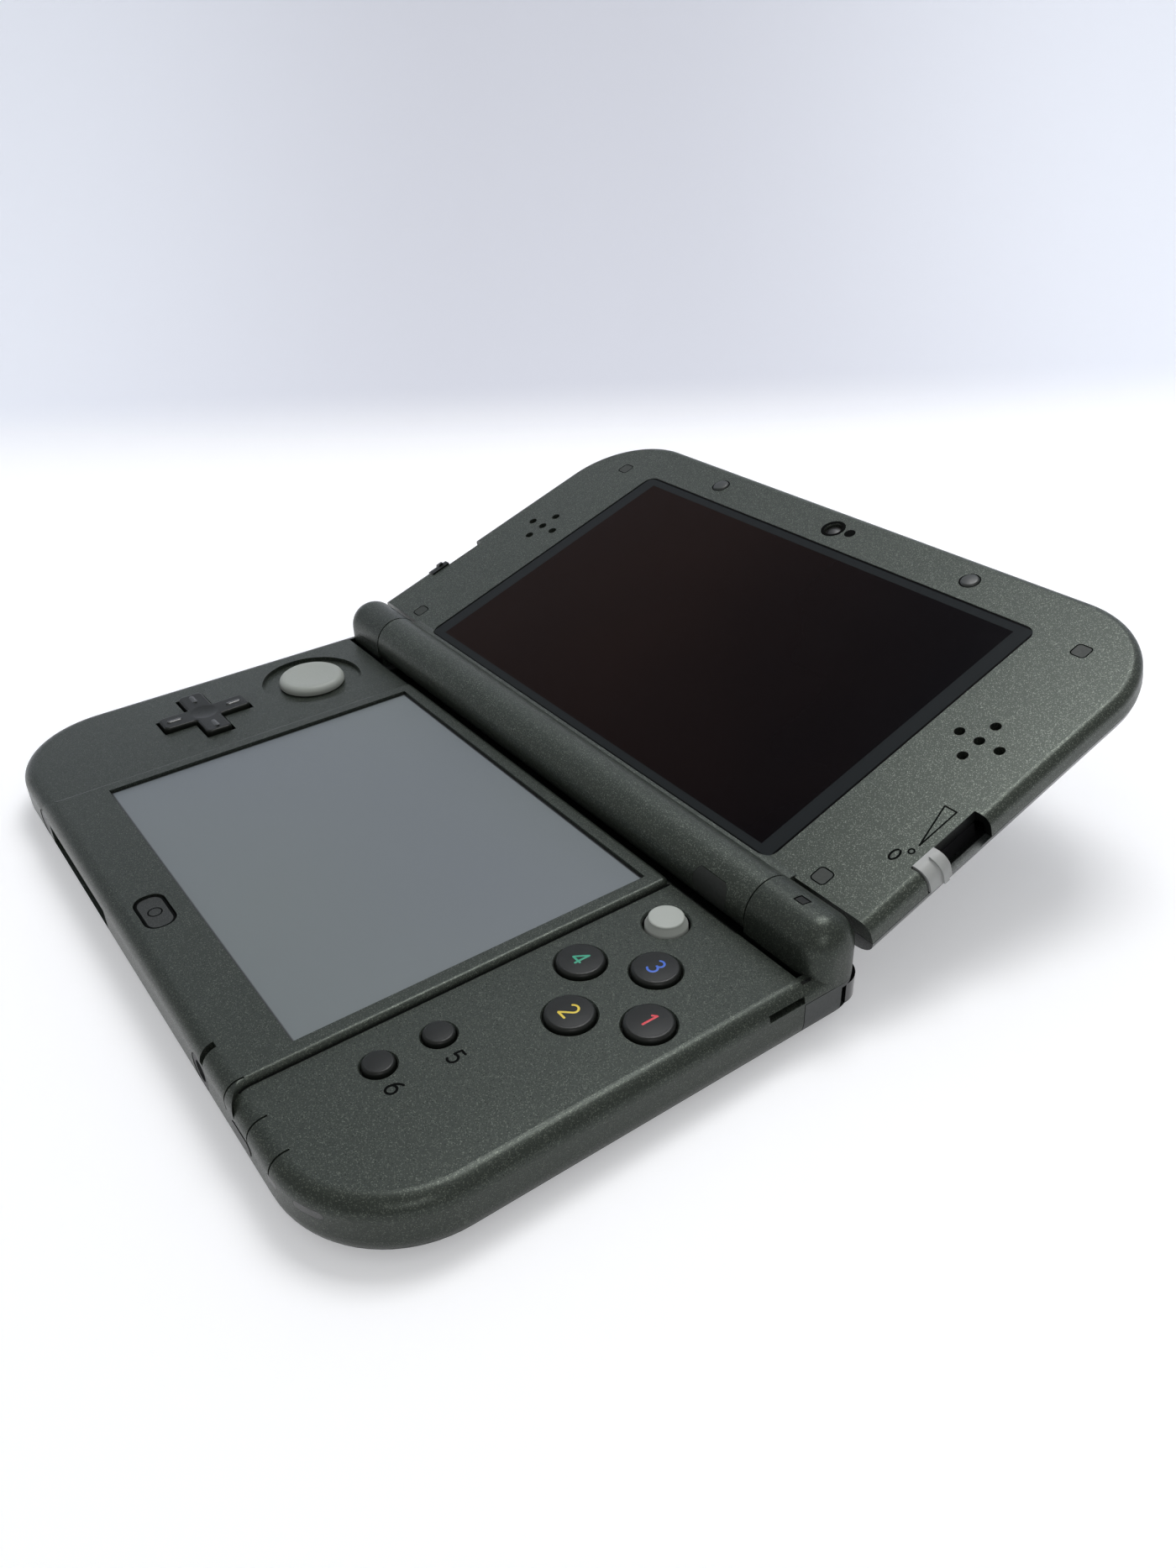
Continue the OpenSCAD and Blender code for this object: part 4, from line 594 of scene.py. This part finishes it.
def key_shell(edge, middle, rim, low, top, height, rings=34):
    """Points and faces of a key with any outline. The outline goes up from the low level and over a rim whose inset
    and height follow a quarter circle. Inside it the outline shrinks in even shares to the middle, and the height
    there is a function of the place."""
    along = np.roll(edge, -1, axis=0) - np.roll(edge, 1, axis=0)
    along /= np.linalg.norm(along, axis=1, keepdims=True)
    inwards = np.stack([-along[:, 1], along[:, 0]], axis=1)
    turn = np.radians(np.linspace(0, 90, 7))
    rows = [np.column_stack([edge, np.full(len(edge), low)])]
    for inset, drop in zip(rim * (1 - np.cos(turn)), rim * (1 - np.sin(turn))):
        flat = edge + inwards * inset
        rows.append(np.column_stack([flat, height(flat[:, 0], flat[:, 1]) + top - drop]))
    last = edge + inwards * rim
    for share in np.linspace(1, 0, rings)[1:-1]:
        flat = last * share
        rows.append(np.column_stack([flat, height(flat[:, 0], flat[:, 1]) + top]))
    points = np.concatenate(rows)
    n, count_rows = len(edge), len(rows)
    centre = [[0, 0, float(height(np.zeros(1), np.zeros(1))[0]) + top], [0, 0, low]]
    points = np.concatenate([points, centre]) + [middle[0], middle[1], 0]
    i, j = np.meshgrid(np.arange(count_rows - 1), np.arange(n), indexing="ij")
    after = (j + 1) % n
    quads = np.stack([i * n + j, i * n + after, (i + 1) * n + after, (i + 1) * n + j], axis=-1).reshape(-1, 4)
    j = np.arange(n)
    after = (j + 1) % n
    high = (count_rows - 1) * n
    cap = np.stack([high + j, high + after, np.full(n, count_rows * n)], axis=1)
    base = np.stack([after, j, np.full(n, count_rows * n + 1)], axis=1)
    return points, quads.tolist() + cap.tolist() + base.tolist()


def pad_height(x, y):
    """Height of the pad over its top level. The arms rise evenly outwards, from a tenth of a millimetre below it. In
    the middle is a hollow whose depth is twice a share less its square, where the share falls evenly from 1 in the
    middle to 0 at the hollow's edge."""
    outwards = np.maximum(np.abs(x), np.abs(y))
    share = np.clip(1 - np.hypot(x, y) / 2.9, 0, 1)
    slope = 0.16 * np.clip((outwards - pad_half) / (pad_arm - pad_half), 0, 1)
    return slope - 0.1 - 0.26 * share * (2 - share)


def bar_level(x, y):
    """The middle of a bar lies in the pad's top, so that half of it stands out."""
    return pad_top + pad_height(x - pad_middle[0], y - pad_middle[1])


pad_edge = cross_edge(pad_arm, pad_half, outer=1.1, inner=0.35)
pad_shell = key_shell(pad_edge, pad_middle, rim=0.5, low=8.7, top=pad_top, height=pad_height)
pad_disc = turned([(0, 9.0), (8.0, 9.0), (8.0, 8.3), (0, 8.3)], pad_middle, 72)
bar_ends, bar_width, bar_height = (5.0, 8.2), 1.15, 0.52
pad_bars = [
    bead(np.outer(bar_ends, way) + pad_middle, bar_width, bar_height, bar_level)
    for way in ((1, 0), (0, 1), (-1, 0), (0, -1))
]
pad_black = moulded(
    "pad_black", (0.0052, 0.0066, 0.0050), (0.0075, 0.0092, 0.0071), 0.32, 0.0003, 0.1, Specular_IOR_Level=0.25
)
build("direction_cross", *gather([pad_shell, pad_disc]), pad_black, "direction_pad", "key_black", ["direction_pad"])
# The bars are the pad's plastic, glossier, and painted a few times lighter as painted highlight.
bar_gloss = moulded(
    "bar_gloss", (0.020, 0.022, 0.020), (0.028, 0.030, 0.028), 0.24, 0.0003, 0.05, Specular_IOR_Level=0.8
)
build("pad_bars", *gather(pad_bars), bar_gloss, "direction_pad", "key_black")


# ---------------------------------------------------------------- Circle pad
# A broad light grey cap with a shallow dish for the thumb and a rounded rim. It slides in its well on a stem, over
# the carriage below. It is rubber-coated, so it is soft and dull.
knob_rubber = moulded("knob_rubber", (0.300, 0.322, 0.296), (0.340, 0.362, 0.334), 0.5, 0.00045, 0.2, Sheen_Weight=0.1)
slide_middle = (-63.7, 17.5)
# The dish is the lowest part of a ball.
ball_middle, ball_radius = 60.1, 48.0
dish = [(r, ball_middle - np.sqrt(ball_radius**2 - r**2)) for r in np.linspace(0, 5.0, 12)]
slide_profile = (
    dish + [(5.35, 12.39), (5.7, 12.40)] + arc(5.9, 11.0, 1.4, 88, 0, 14) + [(7.3, 10.8)]
    + arc(7.0, 10.75, 0.3, 0, -90, 5) + [(1.9, 10.45), (1.9, 8.9), (5.0, 8.9), (5.0, 8.1), (0, 8.1)]
)
build("circle_cap", *turned(slide_profile, slide_middle, 128), knob_rubber, "circle_pad", "knob_light", ["circle_pad"])


# ---------------------------------------------------------------- Pointing nub
# A small stiff stick beside the face keys, capped in the same light grey rubber. It only leans a little, on a thin
# ring under the deck, and its top is almost flat.
nub_middle = (54.2, 26.2)
nub_profile = (
    crown(2.75, 12.6, 0.05, 8) + arc(2.72, 12.27, 0.33, 86, 8, 8) + [(3.12, 12.0), (3.55, 11.25)]
    + [(3.62, 11.0), (3.65, 8.05), (1.2, 8.05), (1.2, 6.95), (0, 6.95)]
)
nub_rubber = moulded("nub_rubber", (0.37, 0.395, 0.365), (0.42, 0.445, 0.412), 0.5, 0.0004, 0.2, Sheen_Weight=0.1)
build("nub_cap", *turned(nub_profile, nub_middle), nub_rubber, "pointing_nub", "knob_light", ["pointing_nub"])


# ---------------------------------------------------------------- Home button
# A small oblong key with round corners in the front of the frame, almost flush, moulded in the frame's dark colour.
# It is painted more dully than the frame, and a plain ring is engraved in it.
def rounded_edge(x_half, y_half, radius):
    """A closed outline about the middle, of straight sides and four quarter circles. It ends where it starts."""
    corners = [
        bow(sx * (x_half - radius), sy * (y_half - radius), radius, radius, start, start + 90, 10)
        for sx, sy, start in ((1, -1, -90), (1, 1, 0), (-1, 1, 90), (-1, -1, 180))
    ]
    return np.concatenate(corners + [corners[0][:1]])


home_paint = flake_paint(
    "home_paint", (0.0105, 0.0127, 0.0105), (0.0145, 0.0172, 0.0145), (0.042, 0.049, 0.041), 0.46, Metallic=0.2
)
dress(home_paint, "home_button")
home_middle = np.array([0, -40.55])
home_level = flat_level(12.05)
home_lines = [
    bead(rounded_edge(4.65, 2.35, 2.0) + home_middle, 0.42, 0.03, home_level, closed=True),
    bead(bow(*home_middle, 1.15, 1.15, 0, 360, 60), 0.26, 0.03, home_level, closed=True),
]
build("home_ring", *gather(home_lines), engraving_and_shade, "home_button", "key_grey")


# ---------------------------------------------------------------- Shoulder buttons, triggers and power button
# The four bars along the rear wall are moulded in glossy black, and each turns on a pin near its inner end. The
# power button is a small oval in the front edge.
gloss_black = moulded(
    "gloss_black", (0.007, 0.007, 0.0075), (0.010, 0.010, 0.0105), 0.14, 0.0008, 0.03, Coat_Weight=0.5
)
dress(gloss_black, "left_shoulder", "right_shoulder", "left_trigger", "right_trigger")
dress(key_black, "power_button")


# ---------------------------------------------------------------- Lid shells and hinge barrel
# The inner bezel, the outer cover and the barrel that joins them to the base's knuckles. They have the deck's
# satin paint, on the bezel in lighter colours as painted light; the outer cover's is finer and a little glossier.
def lid_axes(finish):
    """The place in the lid's own axes, which start at the middle of the hinge and rise with the lid."""
    values = {"Vector": place_on(finish), "Location": (0, hinge_y * MM, hinge_z * MM), "Rotation": (lid_tilt, 0, 0)}
    return add_node(finish, "Mapping", values, vector_type="TEXTURE").outputs[0]


# Its colours and flakes are lighter than the deck's, as painted light on the lid.
lid_paint = flake_paint(
    "lid_paint", (0.035, 0.0425, 0.0345), (0.047, 0.0560, 0.0465), (0.165, 0.185, 0.155), 0.35, Metallic=0.5,
    Specular_IOR_Level=0.4,
)
# The slots that the sliders run in are painted near black, as painted shade. They are the outer ends of a band
# across the lid.
lid_place = lid_axes(lid_paint)
slot_band = inside_box(lid_paint, lid_place, 90, 18.95, 34.25, top=0.95)
band_middle = inside_box(lid_paint, lid_place, 76.84, 10, 40)
slot_shade = reckon(lid_paint, "SUBTRACT", slot_band, band_middle, clamp=True)
paint_shade(lid_paint, slot_shade, (0.004, 0.005, 0.0045))
dress(lid_paint, "lid_bezel")
cover_paint = flake_paint(
    "cover_paint", (0.028, 0.033, 0.031), (0.037, 0.043, 0.040), (0.11, 0.125, 0.12), 0.33, share=0.88,
    Metallic=0.45, Coat_Weight=0.25, Coat_Roughness=0.2,
)
dress(cover_paint, "lid_cover")
dress(moulded("plug_grain", (0.016, 0.020, 0.016), (0.027, 0.033, 0.027), 0.6, 0.0005, 0.5), "screw_covers")
dress(moulded("plug_black", (0.0105, 0.0125, 0.0105), (0.0160, 0.0190, 0.0160), 0.6, 0.0005, 0.5), "barrel_plug")


# ---------------------------------------------------------------- Upper screen
# One pane of smoked glass let into the bezel. A slate border is printed behind it, and the picture area inside is
# almost black, with a faint warm tint while it is off.
pane, pane_shader = start_finish("pane", Specular_IOR_Level=0.3, IOR=1.15)
pane_place = lid_axes(pane)
pane_cloud = noise(pane, pane_place, 14.0, 2.0)
# The warm tint fades towards the right, and the cloud moves it a little to either side.
pane_side = add_node(pane, "SeparateXYZ", {0: pane_place}).outputs["X"]
pane_side = stretch(pane, pane_side, -0.045, 0.04, -0.1, 0.85, clamp=False)
pane_drift = stretch(pane, pane_cloud, 0.3, 0.7, -0.25, 0.25)
pane_side = reckon(pane, "ADD", pane_side, pane_drift, clamp=True)
pane_dark = add_mix(pane, pane_side, (0.0105, 0.0046, 0.0032, 1), (0.0012, 0.0004, 0.0010, 1))
pane_slate = add_mix(pane, pane_cloud, (0.016, 0.0185, 0.0195, 1), (0.021, 0.024, 0.0255, 1))
pane_open = inside_box(pane, pane_place, 53.6, 8.03, 72.75, 0.08)
pane_inner = add_mix(pane, pane_open, pane_slate, pane_dark)
pane_rim = inside_box(pane, pane_place, 56.75, 6.45, 74.65, 0.1)
join(pane, add_mix(pane, pane_rim, (0.0015, 0.0015, 0.0015, 1), pane_inner), pane_shader, "Base Color")
pane_smear = noise(pane, pane_place, 60.0, 3.0)
join(pane, stretch(pane, pane_smear, 0.4, 0.8, 0.1, 0.22), pane_shader, "Roughness")
dress(pane, "upper_glass")


# ---------------------------------------------------------------- Cameras and bumpers
# The inner camera sits over the screen in a black ring, with a small dark window beside it, and the outer two are
# flush in the cover. Two low rubber domes beside the inner one face the frame when the lid is shut.
def on_lid(points):
    """Turns points from the lid's own axes into the frame: x stays, and the other two turn about the hinge axis."""
    points = np.array(points, float)
    u, n = points[:, 1].copy(), points[:, 2].copy()
    points[:, 1] = hinge_y + u * np.cos(lid_tilt) - n * np.sin(lid_tilt)
    points[:, 2] = hinge_z + u * np.sin(lid_tilt) + n * np.cos(lid_tilt)
    return points


def build_on_lid(name, part, finish, slot, stands_for=()):
    """Makes a piece of the lid from points written in the lid's own axes."""
    return build(name, on_lid(part[0]), part[1], finish, "lid", slot, stands_for)


lid_level = flat_level(1.1)
camera_row, bumper_places = 80.5, (-37, 37)
lens_glass = moulded("lens_glass", (0.010, 0.011, 0.010), (0.016, 0.017, 0.016), 0.40, 0.001, 0.02)
dress(lens_glass, "inner_camera", "outer_cameras")
camera_ring = bead(bow(0, camera_row, 2.35, 2.35, 0, 360, 72), 0.75, 0.05, lid_level, closed=True)
build_on_lid("camera_ring", camera_ring, engraving_and_shade, "lid_paint")
window_profile = crown(1.1, 1.12, 0.03, 6) + arc(1.15, 0.96, 0.17, 80, 0, 5) + [(1.32, 0.9), (0, 0.9)]
build_on_lid("camera_window", turned(window_profile, (4.5, 80.9), 48), engraving_and_shade, "lens")
bumper_rubber = moulded("bumper_rubber", (0.022, 0.026, 0.023), (0.032, 0.036, 0.033), 0.34)
bumper_profile = crown(1.35, 1.44, 0.10, 8) + arc(1.35, 0.89, 0.55, 80, 0, 8) + [(1.9, 0.47), (0, 0.47)]
bumpers = gather([turned(bumper_profile, (x, camera_row), 72) for x in bumper_places])
build_on_lid("bumper_domes", bumpers, bumper_rubber, "mat_rubber", ["lid_bumpers"])
bumper_edges = [bow(x, camera_row, 2.02, 2.02, 0, 360, 60) for x in bumper_places]
bumper_gaps = gather([bead(edge, 0.26, 0.05, lid_level, closed=True) for edge in bumper_edges])
build_on_lid("bumper_gaps", bumper_gaps, engraving_and_shade, "lid_paint")


# ---------------------------------------------------------------- Gaps round the lid's screw covers
# Four soft square caps of dark plastic hide the lid's screws, and the gap round each is a fine black line. The caps
# themselves are the solids, which have the same grain as the barrel's plug.
cover_edge = spaced(rounded_edge(1.53, 1.53, 0.8), line_step)
cover_places = [(x, u) for x in (-66.9, 66.9) for u in (9.2, 74.4)]
cover_gaps = gather([bead(cover_edge + place, 0.24, 0.03, lid_level, closed=True) for place in cover_places])
build_on_lid("screw_cover_gaps", cover_gaps, engraving_and_shade, "lid_paint")


# ---------------------------------------------------------------- Sliders and their marks
# The depth slider on the right edge is light grey, and the volume slider on the left edge is black. A wedge that
# widens towards the far end is engraved beside the right one, with a ring and a nought at its shut end.
dress(moulded("slider_grey", (0.34, 0.35, 0.34), (0.42, 0.43, 0.42), 0.42, 0.0005, 0.12), "depth_slider")
dress(key_black, "volume_slider")
wedge = spaced([(74.86, 23.3), (72.36, 32.3), (74.84, 32.3), (74.86, 23.3)], line_step)
marks = [
    bead(wedge, 0.32, 0.03, lid_level, closed=True),
    bead(bow(74.67, 21.68, 0.5, 0.5, 0, 360, 30), 0.32, 0.03, lid_level, closed=True),
    write_figure(0, (73.0, 19.6), 2.3, 0.42, 0.03, lid_level),
]
build_on_lid("slider_marks", gather(marks), engraving_and_shade, "lid_paint")


# ---------------------------------------------------------------- Stylus
# The pen slides into its tube in the front edge. It is a plain turned rod of hard black plastic with a fine tip.
dress(moulded("stylus_plastic", (0.012, 0.012, 0.013), (0.018, 0.018, 0.019), 0.36, 0.0005, 0.08), "stylus")
